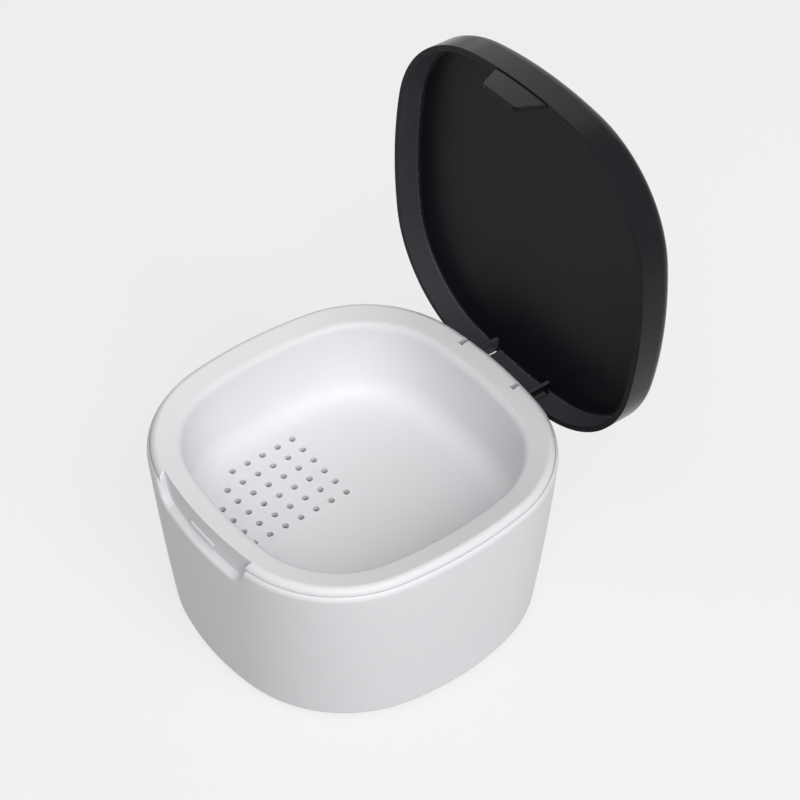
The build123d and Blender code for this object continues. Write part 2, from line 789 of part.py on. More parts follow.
# ---------- duct, gasket and heater ----------
def hood_plan(z, inset):
    """The hood's outline at height z: a rectangle round the vents, its front left corner cut off."""
    left = vent_x - (vent_columns - 1) * vent_pitch - hood_margin - hood_wall + inset
    right = vent_x + hood_margin + hood_wall - inset
    front = vent_y - (vent_rows - 1) * vent_pitch - hood_margin - hood_wall + inset
    back = vent_y + hood_margin + hood_wall - inset
    cut = hood_chamfer - inset * (2 - sqrt(2))
    with BuildSketch(Plane.XY.offset(z)) as drawn:
        with BuildLine():
            Polyline(
                (left, front + cut),
                (left + cut, front),
                (right, front),
                (right, back),
                (left, back),
                close=True,
            )
        make_face()
    return drawn.sketch


with BuildPart() as air_duct:
    with BuildSketch(Plane.XY.offset(duct_z)):
        with Locations((fan_x, fan_y)):
            RectangleRounded(fan_side, fan_side, fan_corner)
        with Locations(fan_spots):
            Circle(small_hole_radius, mode=Mode.SUBTRACT)
    extrude(amount=duct_flange)
    with Locations((fan_x, fan_y, neck_z)):
        Cylinder(
            duct_neck_radius + duct_neck_wall,
            duct_neck_height,
            align=(Align.CENTER, Align.CENTER, Align.MIN),
        )
    extrude(hood_plan(hood_z, 0), amount=hood_top_z - hood_z)
    extrude(hood_plan(hood_z + hood_floor, hood_wall), amount=hood_top_z, mode=Mode.SUBTRACT)
    with Locations((fan_x, fan_y, neck_z)):
        Cylinder(
            duct_neck_radius,
            duct_neck_height + hood_floor,
            align=(Align.CENTER, Align.CENTER, Align.MIN),
            mode=Mode.SUBTRACT,
        )
        Cylinder(duct_throat_radius, 4 * duct_flange, mode=Mode.SUBTRACT)
    # the port that the heater's leads come in by
    with BuildSketch(Plane.XZ.offset(-fan_y)):
        with Locations((heater_plug_x, heater_lead_z)):
            SlotOverall(fin_pitch + lead_port, lead_port)
    extrude(amount=-2 * duct_neck_radius, mode=Mode.SUBTRACT)

with BuildPart() as duct_gasket:
    extrude(hood_plan(hood_top_z, gasket_inset), amount=gasket_height)
    extrude(hood_plan(hood_top_z, gasket_inset + gasket_width), amount=gasket_height, mode=Mode.SUBTRACT)

with BuildPart() as heater_bracket:
    with BuildSketch(Plane.XY.offset(neck_z)):
        with Locations((fan_x, fan_y)):
            Circle(duct_neck_radius - bracket_gap)
            Circle(bracket_window_radius, mode=Mode.SUBTRACT)
            Rectangle(2 * bracket_window_radius + bracket_gap, bracket_strip)
    extrude(amount=bracket_thickness)

with BuildPart() as heater_fins:
    with Locations((fan_x, fan_y, fins_z)):
        Box(fins_length, fins_width, fins_height, align=(Align.CENTER, Align.CENTER, Align.MIN))
    for gap in range(fin_count - 1):
        for side in (-1, 1):
            gap_x = fan_x + (gap - (fin_count - 2) / 2) * fin_pitch
            with Locations((gap_x, fan_y + side * (fins_width - fin_depth) / 2, fins_z)):
                Box(
                    fin_pitch - fin_thickness,
                    fin_depth,
                    3 * fins_height,
                    mode=Mode.SUBTRACT,
                )
    with Locations((fan_x, fan_y, fins_top_z)):
        Box(
            element_length + 2 * element_gap,
            element_width + 2 * element_gap,
            element_height,
            align=(Align.CENTER, Align.CENTER, Align.MAX),
            mode=Mode.SUBTRACT,
        )

with BuildPart() as ptc_element:
    with Locations((fan_x, fan_y, fins_top_z)):
        Box(
            element_length,
            element_width,
            element_height,
            align=(Align.CENTER, Align.CENTER, Align.MAX),
        )

with BuildPart() as thermal_cutoff:
    with Locations((fan_x, fan_y, fins_top_z + cutoff_radius)):
        Cylinder(cutoff_radius, cutoff_length, rotation=(0, 90, 0))

# ---------- board ----------
with BuildPart() as control_board:
    with BuildSketch(Plane.XY.offset(board_z)) as outline:
        with Locations(((board_x0 + board_x1) / 2, (board_y0 + board_y1) / 2)):
            Rectangle(board_x1 - board_x0, board_y1 - board_y0)
        chamfer(outline.vertices().group_by(Axis.Y)[-1], length=board_chamfer)
        with Locations(board_spots):
            Circle(small_hole_radius, mode=Mode.SUBTRACT)
    extrude(amount=board_thickness)

with BuildPart() as timer_chip:
    with Locations((chip_x, chip_y, board_top)):
        Box(chip_side, chip_side, chip_height, align=(Align.CENTER, Align.CENTER, Align.MIN))
    chamfer(timer_chip.edges().group_by(Axis.Z)[-1], length=chip_dot_radius / 2)
    with Locations((chip_x - chip_side / 3, chip_y - chip_side / 3, board_top + chip_height)):
        Cylinder(chip_dot_radius, chip_dot_radius, mode=Mode.SUBTRACT)

# A tall round capacitor and a row of small ones.
with BuildPart() as board_parts:
    with Locations((cell_x, chip_y, board_top)):
        Cylinder(cell_radius, cell_height, align=(Align.CENTER, Align.CENTER, Align.MIN))
    fillet(board_parts.edges().group_by(Axis.Z)[-1], radius=screw_edge_round)
    with Locations([(x, board_y0 + small_part_edge, board_top) for x in small_part_x]):
        Box(*small_part, align=(Align.CENTER, Align.CENTER, Align.MIN))


def plug(x):
    """A wire connector on the board, open on top, its front towards the fan."""
    with BuildPart() as made:
        with Locations((x, plug_y, board_top)):
            Box(plug_width, plug_depth, plug_height, align=(Align.CENTER, Align.CENTER, Align.MIN))
        with Locations((x, plug_y, board_top + plug_height)):
            Box(
                plug_width - 2 * plug_groove,
                plug_depth - 2 * plug_groove,
                4 * plug_groove,
                mode=Mode.SUBTRACT,
            )
    return made.part


with BuildPart() as fan_connector:
    add(plug(fan_plug_x))

with BuildPart() as heater_connector:
    add(plug(heater_plug_x))

with BuildPart() as fan_lead:
    for side in (-1, 1):
        x = fan_plug_x + side * lead_spacing / 2
        with BuildLine() as route:
            FilletPolyline(
                (x, plug_front_y, lead_z),
                (x, lead_drop_y, lead_z),
                (x, lead_drop_y, lead_low_z),
                (x, fan_y + fan_side / 2, lead_low_z),
                radius=lead_tight_bend,
            )
        with BuildSketch(Plane(route.line @ 0, z_dir=route.line % 0)):
            Circle(lead_radius)
        sweep(path=route.line)

with BuildPart() as heater_lead:
    for side in (-1, 1):
        x = heater_plug_x + side * fin_pitch / 2
        with BuildLine() as route:
            FilletPolyline(
                (x, plug_front_y, lead_z),
                (x, lead_drop_y + 2 * lead_bend + heater_lead_z - lead_z, lead_z),
                (x, lead_drop_y + 2 * lead_bend, heater_lead_z),
                (x, fan_y + fins_width / 2 - fin_depth, heater_lead_z),
                radius=lead_bend,
            )
        with BuildSketch(Plane(route.line @ 0, z_dir=route.line % 0)):
            Circle(lead_radius)
        sweep(path=route.line)

# ---------- inlet, lamp, switch and button ----------
with BuildPart() as usb_socket:
    with BuildSketch(Plane.XZ.offset(-usb_face_y)):
        with Locations((usb_x, port_z)):
            SlotOverall(usb_width, usb_height)
    extrude(amount=usb_length)
    with BuildSketch(Plane.XZ.offset(-usb_face_y)):
        with Locations((usb_x, port_z)):
            SlotOverall(usb_width - 2 * usb_wall, usb_height - 2 * usb_wall)
            Rectangle(usb_width - usb_height, usb_tongue_thickness, mode=Mode.SUBTRACT)
    extrude(amount=usb_length - 2 * usb_wall, mode=Mode.SUBTRACT)

with BuildPart() as tact_switch:
    with Locations((button_x, switch_face_y - switch_depth / 2, board_top)):
        Box(
            switch_width,
            switch_depth,
            switch_height,
            align=(Align.CENTER, Align.CENTER, Align.MIN),
        )
    with Locations((button_x, switch_face_y, port_z)):
        Cylinder(
            plunger_radius + plunger_fit,
            2 * (plunger_depth + button_travel + plunger_fit),
            rotation=(90, 0, 0),
            mode=Mode.SUBTRACT,
        )

with BuildPart() as switch_plunger:
    with BuildSketch(Plane.XZ.offset(-switch_face_y - plunger_proud)):
        with Locations((button_x, port_z)):
            Circle(plunger_radius)
    extrude(amount=plunger_proud + plunger_depth)

with BuildPart() as power_button:
    with BuildSketch(Plane.XZ.offset(-wall_back_y - button_proud)):
        with Locations((button_x, port_z)):
            Circle(button_radius)
    extrude(amount=wall_back_y + button_proud - panel_y + button_seat_gap)
    fillet(power_button.edges().group_by(Axis.Y)[-1], radius=button_edge_round)
    with Locations((button_x, wall_back_y + button_proud + button_dish_radius - button_dish, port_z)):
        Sphere(button_dish_radius, mode=Mode.SUBTRACT)
    with BuildSketch(Plane.XZ.offset(button_seat_gap - panel_y)):
        with Locations((button_x, port_z)):
            Circle(button_flange_radius)
    extrude(amount=button_flange)
    with BuildSketch(Plane.XZ.offset(-switch_face_y - plunger_proud)):
        with Locations((button_x, port_z)):
            Circle(stem_radius)
    extrude(amount=switch_face_y + plunger_proud - panel_y + button_seat_gap)

with BuildPart() as status_led:
    with Locations((lamp_x, led_face_y - led_depth / 2, board_top)):
        Box(led_width, led_depth, led_height, align=(Align.CENTER, Align.CENTER, Align.MIN))

with BuildPart() as light_pipe:
    with BuildSketch(Plane.XZ.offset(-led_face_y - pipe_gap)):
        with Locations((lamp_x, port_z)):
            Circle(pipe_radius)
    extrude(amount=led_face_y + pipe_gap + pipe_end_setback - wall_back_y)
    with BuildSketch(Plane.XZ.offset(-panel_y)):
        with Locations((lamp_x, port_z)):
            Circle(pipe_flange_radius)
    extrude(amount=pipe_flange)

# ---------- the pieces as files ----------
outer_shell.part.label = "outer_shell"
export_step(outer_shell.part, "parts/outer_shell.step")
inner_tub.part.label = "inner_tub"
export_step(inner_tub.part, "parts/inner_tub.step")
lid.part.label = "lid"
export_step(lid.part, "parts/lid.step")
hinge_pin.part.label = "hinge_pin"
export_step(hinge_pin.part, "parts/hinge_pin.step")
base_plate.part.label = "base_plate"
export_step(base_plate.part, "parts/base_plate.step")
rubber_feet.part.label = "rubber_feet"
export_step(rubber_feet.part, "parts/rubber_feet.step")
base_screws.part.label = "base_screws"
export_step(base_screws.part, "parts/base_screws.step")
fan_screws.part.label = "fan_screws"
export_step(fan_screws.part, "parts/fan_screws.step")
board_screws.part.label = "board_screws"
export_step(board_screws.part, "parts/board_screws.step")
fan_frame.part.label = "fan_frame"
export_step(fan_frame.part, "parts/fan_frame.step")
fan_stator.part.label = "fan_stator"
export_step(fan_stator.part, "parts/fan_stator.step")
fan_rotor.part.label = "fan_rotor"
export_step(fan_rotor.part, "parts/fan_rotor.step")
air_duct.part.label = "air_duct"
export_step(air_duct.part, "parts/air_duct.step")
duct_gasket.part.label = "duct_gasket"
export_step(duct_gasket.part, "parts/duct_gasket.step")
heater_bracket.part.label = "heater_bracket"
export_step(heater_bracket.part, "parts/heater_bracket.step")
heater_fins.part.label = "heater_fins"
export_step(heater_fins.part, "parts/heater_fins.step")
ptc_element.part.label = "ptc_element"
export_step(ptc_element.part, "parts/ptc_element.step")
thermal_cutoff.part.label = "thermal_cutoff"
export_step(thermal_cutoff.part, "parts/thermal_cutoff.step")
control_board.part.label = "control_board"
export_step(control_board.part, "parts/control_board.step")
timer_chip.part.label = "timer_chip"
export_step(timer_chip.part, "parts/timer_chip.step")
board_parts.part.label = "board_parts"
export_step(board_parts.part, "parts/board_parts.step")
fan_connector.part.label = "fan_connector"
export_step(fan_connector.part, "parts/fan_connector.step")
heater_connector.part.label = "heater_connector"
export_step(heater_connector.part, "parts/heater_connector.step")
fan_lead.part.label = "fan_lead"
export_step(fan_lead.part, "parts/fan_lead.step")
heater_lead.part.label = "heater_lead"
export_step(heater_lead.part, "parts/heater_lead.step")
usb_socket.part.label = "usb_socket"
export_step(usb_socket.part, "parts/usb_socket.step")
tact_switch.part.label = "tact_switch"
export_step(tact_switch.part, "parts/tact_switch.step")
switch_plunger.part.label = "switch_plunger"
export_step(switch_plunger.part, "parts/switch_plunger.step")
power_button.part.label = "power_button"
export_step(power_button.part, "parts/power_button.step")
status_led.part.label = "status_led"
export_step(status_led.part, "parts/status_led.step")
light_pipe.part.label = "light_pipe"
export_step(light_pipe.part, "parts/light_pipe.step")
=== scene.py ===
"""The looks of a hearing aid dryer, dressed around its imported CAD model.

The frame is the model's own: +Z up, +X right, -Y the front with the finger notch, +Y the back with the
hinge, and the origin on the table under the middle of the casing. Blender works in metres, so a size that
is written in millimetres is multiplied by MM where it is used.
"""

import sys

import json
import logging
import math
from dataclasses import dataclass, field
from enum import Enum

import bmesh
import bpy
from mathutils import Matrix, Vector

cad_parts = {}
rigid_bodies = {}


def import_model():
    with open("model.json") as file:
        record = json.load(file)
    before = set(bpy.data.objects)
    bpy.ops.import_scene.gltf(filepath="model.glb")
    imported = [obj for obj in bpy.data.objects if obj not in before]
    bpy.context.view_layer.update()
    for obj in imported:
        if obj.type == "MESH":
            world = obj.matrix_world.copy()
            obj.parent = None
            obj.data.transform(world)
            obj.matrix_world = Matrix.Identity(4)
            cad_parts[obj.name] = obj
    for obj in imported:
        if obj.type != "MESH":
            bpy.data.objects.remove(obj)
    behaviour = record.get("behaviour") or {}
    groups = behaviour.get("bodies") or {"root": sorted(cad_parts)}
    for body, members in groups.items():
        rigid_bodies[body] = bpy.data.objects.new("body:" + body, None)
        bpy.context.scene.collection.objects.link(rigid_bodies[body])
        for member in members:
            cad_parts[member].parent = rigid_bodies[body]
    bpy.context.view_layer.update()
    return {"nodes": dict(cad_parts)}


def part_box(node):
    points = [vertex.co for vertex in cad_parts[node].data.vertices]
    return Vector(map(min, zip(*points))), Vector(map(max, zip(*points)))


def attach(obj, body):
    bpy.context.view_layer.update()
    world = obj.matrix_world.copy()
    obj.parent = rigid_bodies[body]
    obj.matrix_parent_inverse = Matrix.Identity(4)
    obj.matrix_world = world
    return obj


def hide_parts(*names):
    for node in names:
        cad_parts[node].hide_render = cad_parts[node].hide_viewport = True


for startup_object in list(bpy.data.objects):
    bpy.data.objects.remove(startup_object)
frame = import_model()

MM = 0.001
MERGE = 0.0005 * MM  # points that lie closer than this are one
LOG = logging.getLogger("dryer")
X_AXIS = Vector((1, 0, 0))
Z_AXIS = Vector((0, 0, 1))


# ---------------------------------------------------------------- colours and nodes
def linear(hex_colour: str) -> tuple[float, float, float, float]:
    """Turns an sRGB hex colour into linear light.

    Args:
        hex_colour: Six hex digits, such as "f2f2f0".

    Returns:
        Red, green, blue and an alpha of 1.
    """
    shown = [int(hex_colour[i : i + 2], 16) / 255 for i in (0, 2, 4)]
    light = [c / 12.92 if c <= 0.04045 else ((c + 0.055) / 1.055) ** 2.4 for c in shown]
    return (*light, 1.0)


def add_node(
    tree: bpy.types.NodeTree,
    kind: str,
    settings: dict | None = None,
    links: dict | None = None,
) -> bpy.types.Node:
    """Adds one node to a material with its settings and incoming links.

    Args:
        tree: The node tree that the node goes into.
        kind: The node's type, without the word ShaderNode.
        settings: Attribute names, or names or numbers of input sockets, with their values.
        links: Names or numbers of input sockets, with the output sockets that feed them.

    Returns:
        The new node.
    """
    node = tree.nodes.new("ShaderNode" + kind)
    for key, value in (settings or {}).items():
        if isinstance(key, int) or key in node.inputs:
            node.inputs[key].default_value = value
        else:
            setattr(node, key, value)
    for key, source in (links or {}).items():
        tree.links.new(source, node.inputs[key])
    return node


def seen_directly(tree: bpy.types.NodeTree) -> bpy.types.NodeSocket:
    """Tells rays of the camera, of reflections and through clear plastic from the rest.

    Args:
        tree: The node tree of the floor or the room.

    Returns:
        An output socket that is 1 for those rays and 0 for the rest.
    """
    path = add_node(tree, "LightPath")
    seen = path.outputs["Is Camera Ray"]
    for ray in ("Is Glossy Ray", "Is Transmission Ray"):
        seen = add_node(tree, "Math", {"operation": "MAXIMUM"}, {0: seen, 1: path.outputs[ray]}).outputs[0]
    return seen


class Pattern(Enum):
    """The kinds of fine surface relief."""

    GRAIN = "spark-eroded or moulded grain"
    BRUSHED = "grain drawn out along X"
    PORES = "open foam cells"
    DRAWN = "grain drawn out along Z"
    TRACES = "copper tracks under a board's lacquer"


@dataclass(frozen=True)
class Finish:
    """One real finish: what it is made of, and how its surface was made.

    Attributes:
        name: The material's name.
        colour: Its colour as sRGB hex.
        drift: The colour that it drifts to in broad, faint clouds.
        roughness: The middle of its roughness.
        swing: How far the roughness wanders either way.
        metallic: 1 for bare metal, else 0.
        ior: Index of refraction, which a metal leaves at 1.5.
        grain_mm: Size of the fine relief.
        relief_mm: Height of the fine relief.
        cloud_mm: Size of the broad clouds.
        edge_mm: Radius at which its edges look rounded.
        pattern: The shape of the fine relief.
        coat: Weight of a clear skin over the colour.
        transmission: Share of light that passes through clear plastic.
        subsurface: Weight of the light that goes a little way into the plastic.
        sheen: Weight of a dusty or rubbery sheen.
    """

    name: str
    colour: str
    drift: str
    roughness: float
    swing: float = 0.04
    metallic: float = 0.0
    ior: float = 1.5
    grain_mm: float = 0.5
    relief_mm: float = 0.003
    cloud_mm: float = 18.0
    edge_mm: float = 0.15
    pattern: Pattern = Pattern.GRAIN
    coat: float = 0.0
    transmission: float = 0.0
    subsurface: float = 0.0
    sheen: float = 0.0

    def build(self) -> bpy.types.Material:
        """Makes the finish's node material.

        Returns:
            The material.
        """
        made = bpy.data.materials.new(self.name)
        made.use_nodes = True
        tree = made.node_tree
        shader = tree.nodes["Principled BSDF"]
        for socket, value in {
            "Metallic": self.metallic,
            "IOR": self.ior,
            "Coat Weight": self.coat,
            "Transmission Weight": self.transmission,
            "Sheen Weight": self.sheen,
            "Subsurface Weight": self.subsurface,
            "Subsurface Radius": (1.0, 0.9, 0.8),
            "Subsurface Scale": 0.8 * MM,
        }.items():
            shader.inputs[socket].default_value = value
        place = add_node(tree, "TexCoord").outputs["Object"]
        clouds = add_node(
            tree,
            "TexNoise",
            {"Scale": 1 / (self.cloud_mm * MM), "Detail": 3.0, "Roughness": 0.55},
            {"Vector": place},
        ).outputs["Fac"]
        height = self.relief(tree, place)
        share = height if self.pattern is Pattern.TRACES else clouds
        colour = add_node(
            tree,
            "Mix",
            {"data_type": "RGBA", 6: linear(self.colour), 7: linear(self.drift)},
            {0: share},
        ).outputs[2]
        tree.links.new(colour, shader.inputs["Base Color"])
        rough = add_node(
            tree,
            "MapRange",
            {"To Min": self.roughness - self.swing, "To Max": self.roughness + self.swing},
            {"Value": clouds},
        ).outputs["Result"]
        tree.links.new(rough, shader.inputs["Roughness"])
        edges = add_node(tree, "Bevel", {"samples": 4, "Radius": self.edge_mm * MM}).outputs[0]
        bump = add_node(
            tree,
            "Bump",
            {"Strength": 1.0, "Distance": self.relief_mm * MM},
            {"Height": height, "Normal": edges},
        ).outputs["Normal"]
        tree.links.new(bump, shader.inputs["Normal"])
        return made

    def relief(self, tree: bpy.types.NodeTree, place: bpy.types.NodeSocket) -> bpy.types.NodeSocket:
        """Adds the nodes of the fine relief.

        Args:
            tree: The material's nodes.
            place: The output socket with the object coordinates.

        Returns:
            The output socket with the relief's height.
        """
        scale = 1 / (self.grain_mm * MM)
        if self.pattern is Pattern.PORES:
            return add_node(tree, "TexVoronoi", {"Scale": scale}, {"Vector": place}).outputs["Distance"]
        if self.pattern is Pattern.TRACES:
            # tracks are the mortar of a long brick bond, so they run straight and step sideways
            return add_node(
                tree,
                "TexBrick",
                {
                    "Scale": scale,
                    "Mortar Size": 0.06,
                    "Mortar Smooth": 0.1,
                    "Brick Width": 1.6,
                    "Row Height": 0.45,
                },
                {"Vector": place},
            ).outputs["Fac"]
        if self.pattern is Pattern.DRAWN:
            place = add_node(tree, "Mapping", {"Scale": (1.0, 1.0, 0.02)}, {"Vector": place}).outputs[0]
        if self.pattern is Pattern.BRUSHED:
            place = add_node(tree, "Mapping", {"Scale": (0.04, 1.0, 1.0)}, {"Vector": place}).outputs[0]
        return add_node(
            tree, "TexNoise", {"Scale": scale, "Detail": 2.0, "Roughness": 0.5}, {"Vector": place}
        ).outputs["Fac"]


# Each comment says what the real surface gives the eye.
FINISHES = (
    # ABS moulded against a lightly spark-eroded tool: an even satin white with broad, soft highlights
    Finish("satin_white_abs", "ebebed", "e9e9ec", 0.40, 0.03, ior=1.42, grain_mm=0.45, relief_mm=0.0025,
           edge_mm=0.25),
    # the same ABS, a shade greyer and flatter, as an underside is
    Finish("satin_offwhite_abs", "e6e5e4", "e0dfde", 0.52, 0.04, ior=1.45, grain_mm=0.5, relief_mm=0.004,
           edge_mm=0.2),
    # ABS against a polished tool: near black, with clear and very slightly wavy reflections
    Finish("polished_black_abs", "131418", "15161a", 0.20, 0.03, ior=1.24, grain_mm=6.0, relief_mm=0.006,
           edge_mm=0.25),
    # ABS against a fine spark-eroded tool: flat charcoal that greys where light reaches it
    Finish("eroded_black_abs", "17181c", "14151a", 0.36, 0.04, ior=1.18, grain_mm=0.35, relief_mm=0.002,
           edge_mm=0.2),
    # the same ABS, painted a lighter dull dark grey in the band inside the skirt: a painted reflection of the
    # light that reaches in there
    Finish("skirt_band_painted_reflection_abs", "45464b", "3e3f44", 0.5, 0.04, ior=1.35, grain_mm=0.3, relief_mm=0.004,
           edge_mm=0.2),
    # zinc on drawn steel: bright and faintly blue, with drawing marks
    Finish("zinc_plated_steel", "cfd1d4", "bfc1c6", 0.28, 0.06, metallic=1.0, grain_mm=0.15, relief_mm=0.002,
           cloud_mm=4.0, edge_mm=0.08, pattern=Pattern.DRAWN),
    # rolled tin-plated sheet: bright with long rolling marks
    Finish("rolled_tinned_sheet", "d6d6d4", "c8c8c8", 0.24, 0.06, metallic=1.0, grain_mm=0.2,
           relief_mm=0.0015, cloud_mm=6.0, edge_mm=0.06, pattern=Pattern.BRUSHED),
    # moulded rubber: dull mid grey with a powdery bloom
    Finish("moulded_grey_rubber", "6a6a6c", "5e5e61", 0.78, 0.06, grain_mm=0.3, relief_mm=0.01, edge_mm=0.2,
           sheen=0.25),
    # closed-cell foam: grey with small open pores where it was cut
    Finish("cut_foam_rubber", "4c4d50", "57585b", 0.9, 0.04, grain_mm=0.5, relief_mm=0.12, edge_mm=0.1,
           pattern=Pattern.PORES, sheen=0.2),
    # glass-filled nylon: matt charcoal black, a little mottled by its fibres
    Finish("matt_black_nylon", "202124", "2a2b2e", 0.55, 0.07, grain_mm=0.25, relief_mm=0.006, cloud_mm=3.0),
    # enamelled copper wire: warm and bright under a clear varnish
    Finish("enamelled_copper", "b4632c", "9c4f22", 0.3, 0.05, metallic=1.0, grain_mm=0.2, relief_mm=0.002,
           cloud_mm=2.0, edge_mm=0.03, coat=0.6),
    # punched silicon steel sheets: mid grey metal with level lines
    Finish("stacked_core_steel", "6f7276", "5d6064", 0.42, 0.06, metallic=1.0, grain_mm=0.3, relief_mm=0.004,
           edge_mm=0.04, pattern=Pattern.BRUSHED),
    # heat-resistant polyester: mid grey, slightly clouded
    Finish("dark_moulded_polyester", "7a7b7e", "6e6f72", 0.5, 0.05, grain_mm=0.4, relief_mm=0.005,
           cloud_mm=9.0),
    # extruded aluminium: pale, with fine drawn lines
    Finish("extruded_aluminium", "dcdddf", "cfd0d3", 0.36, 0.06, metallic=1.0, grain_mm=0.2, relief_mm=0.003,
           cloud_mm=5.0, edge_mm=0.06, pattern=Pattern.BRUSHED),
    # fired ceramic: chalky cream, faintly clouded
    Finish("fired_ceramic", "e7e2d6", "dcd6c8", 0.7, 0.05, grain_mm=0.2, relief_mm=0.004, cloud_mm=3.0),
    # glass-epoxy laminate under green lacquer: tracks show lighter through a clear gloss
    Finish("lacquered_laminate", "145c37", "2b7a4e", 0.35, 0.05, grain_mm=2.4, relief_mm=0.02, edge_mm=0.05,
           pattern=Pattern.TRACES, coat=0.5),
    # transfer-moulded epoxy: black with a sandy skin
    Finish("moulded_epoxy", "1d1e20", "26272a", 0.6, 0.05, grain_mm=0.12, relief_mm=0.004, cloud_mm=3.0,
           edge_mm=0.08),
    # shrunk PVC sleeve: deep blue with a soft gloss
    Finish("shrunk_blue_sleeve", "24304f", "2b3858", 0.32, 0.04, grain_mm=1.2, relief_mm=0.004, cloud_mm=5.0),
    # layered ceramic chips: light brown and dry
    Finish("brown_chip_ceramic", "9c7a58", "8b6b4c", 0.62, 0.05, grain_mm=0.2, relief_mm=0.003, cloud_mm=1.5,
           edge_mm=0.06),
    # unfilled nylon: milky and slightly see-through
    Finish("natural_nylon", "ece8db", "e4dfd0", 0.42, 0.05, grain_mm=0.4, relief_mm=0.003, cloud_mm=5.0,
           subsurface=0.2),
    # silicone insulation: red, waxy
    Finish("red_silicone_wire", "b02020", "a01a1a", 0.45, 0.05, grain_mm=0.6, relief_mm=0.003, cloud_mm=4.0),
    # silicone insulation: white, waxy
    Finish("white_silicone_wire", "e9e8e4", "dfdedb", 0.45, 0.05, grain_mm=0.6, relief_mm=0.003,
           cloud_mm=4.0),
    # ABS key: light grey against the white casing, in places glossier than it, as a touched key is
    Finish("light_grey_key_abs", "cdd0d2", "c6c9cc", 0.3, 0.08, ior=1.46, grain_mm=0.5, relief_mm=0.002,
           cloud_mm=3.0, edge_mm=0.15),
    # moulded acrylic: clear with a milky tint
    Finish("clear_acrylic", "e9f4ee", "e2efe8", 0.12, 0.03, ior=1.49, grain_mm=3.0, relief_mm=0.002,
           transmission=0.85),
    # gold flash over nickel: small warm contacts
    Finish("gold_flashed_contact", "d9a441", "cc9638", 0.22, 0.04, metallic=1.0, grain_mm=0.1,
           relief_mm=0.001, cloud_mm=1.5, edge_mm=0.02),
)


class Rack:
    """Keeps the finishes, and makes each material when it is first wanted."""

    def __init__(self) -> None:
        """Knows every finish from the start and has made none."""
        self.known = {finish.name: finish for finish in FINISHES}
        self.made: dict[str, bpy.types.Material] = {}

    def get(self, name: str) -> bpy.types.Material:
        """Gives the material of a finish.

        Args:
            name: The finish's name.

        Returns:
            Its material.
        """
        if name not in self.made:
            self.made[name] = self.known[name].build()
        return self.made[name]


# ---------------------------------------------------------------- making pieces
def dress(rack: Rack, finish: str, *nodes: str) -> None:
    """Gives CAD nodes whose shape is right the material of a finish.

    Args:
        rack: The finishes.
        finish: The finish's name.
        nodes: The nodes' names.
    """
    for name in nodes:
        mesh = frame["nodes"][name].data
        mesh.materials.clear()
        mesh.materials.append(rack.get(finish))
        LOG.info("%s is dressed in %s", name, finish)


def add_piece(
    name: str,
    mesh: bpy.types.Mesh,
    body: str,
    finishes: list[bpy.types.Material],
    replaced: tuple[str, ...] = (),
) -> None:
    """Puts a finished mesh in the scene as a piece that rides on a body.

    Args:
        name: The piece's name.
        mesh: Its mesh, with its place in its points.
        body: The CAD body that it moves with.
        finishes: Its materials, in the order of its faces' material numbers.
        replaced: The CAD nodes that it stands for.
    """
    mesh.name = name
    for finish in finishes:
        mesh.materials.append(finish)
    piece = bpy.data.objects.new(name, mesh)
    bpy.context.scene.collection.objects.link(piece)
    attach(piece, body)
    if replaced:
        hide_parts(*replaced)
    LOG.info("%s has %d faces", name, len(mesh.polygons))


def finish_mesh(made: bmesh.types.BMesh, sharp_degrees: float = 35.0) -> bpy.types.Mesh:
    """Closes a bmesh's seams, points its faces outwards and turns it into a smooth-shaded mesh.

    Args:
        made: The bmesh, which is freed.
        sharp_degrees: The angle from which an edge stays crisp.

    Returns:
        The mesh.
    """
    bmesh.ops.remove_doubles(made, verts=made.verts, dist=MERGE)
    bmesh.ops.recalc_face_normals(made, faces=made.faces)
    mesh = bpy.data.meshes.new("made")
    made.to_mesh(mesh)
    made.free()
    mesh.shade_smooth()
    mesh.set_sharp_from_angle(angle=math.radians(sharp_degrees))
    return mesh


def spin_round(
    made: bmesh.types.BMesh,
    profile: list[tuple[float, float]],
    centre: Vector,
    steps: int,
) -> None:
    """Spins a profile once round a vertical axis.

    Args:
        made: The bmesh that it goes into.
        profile: Radius and height of each point, in millimetres.
        centre: The axis' place, in metres.
        steps: How many steps the turn has.
    """
    verts = [made.verts.new((centre.x + r * MM, centre.y, z * MM)) for r, z in profile]
    edges = [made.edges.new(pair) for pair in zip(verts, verts[1:])]
    bmesh.ops.spin(
        made,
        geom=verts + edges,
        cent=centre,
        axis=Z_AXIS,
        angle=math.tau,
        steps=steps,
        use_merge=True,
    )


def add_block(made: bmesh.types.BMesh, low: Vector, high: Vector, round_mm: float) -> list:
    """Adds a block with rounded edges.

    Args:
        made: The bmesh that it goes into.
        low: Its lowest corner, in metres.
        high: Its highest corner, in metres.
        round_mm: The radius of its edges.

    Returns:
        The new faces.
    """
    before = set(made.faces)
    place = Matrix.Translation((low + high) / 2) @ Matrix.Diagonal((*(high - low), 1.0))
    verts = bmesh.ops.create_cube(made, size=1.0, matrix=place)["verts"]
    edges = list({edge for vert in verts for edge in vert.link_edges})
    bmesh.ops.bevel(
        made,
        geom=edges,
        offset=round_mm * MM,
        segments=2,
        profile=0.5,
        affect="EDGES",
        material=-1,
    )
    return [face for face in made.faces if face not in before]


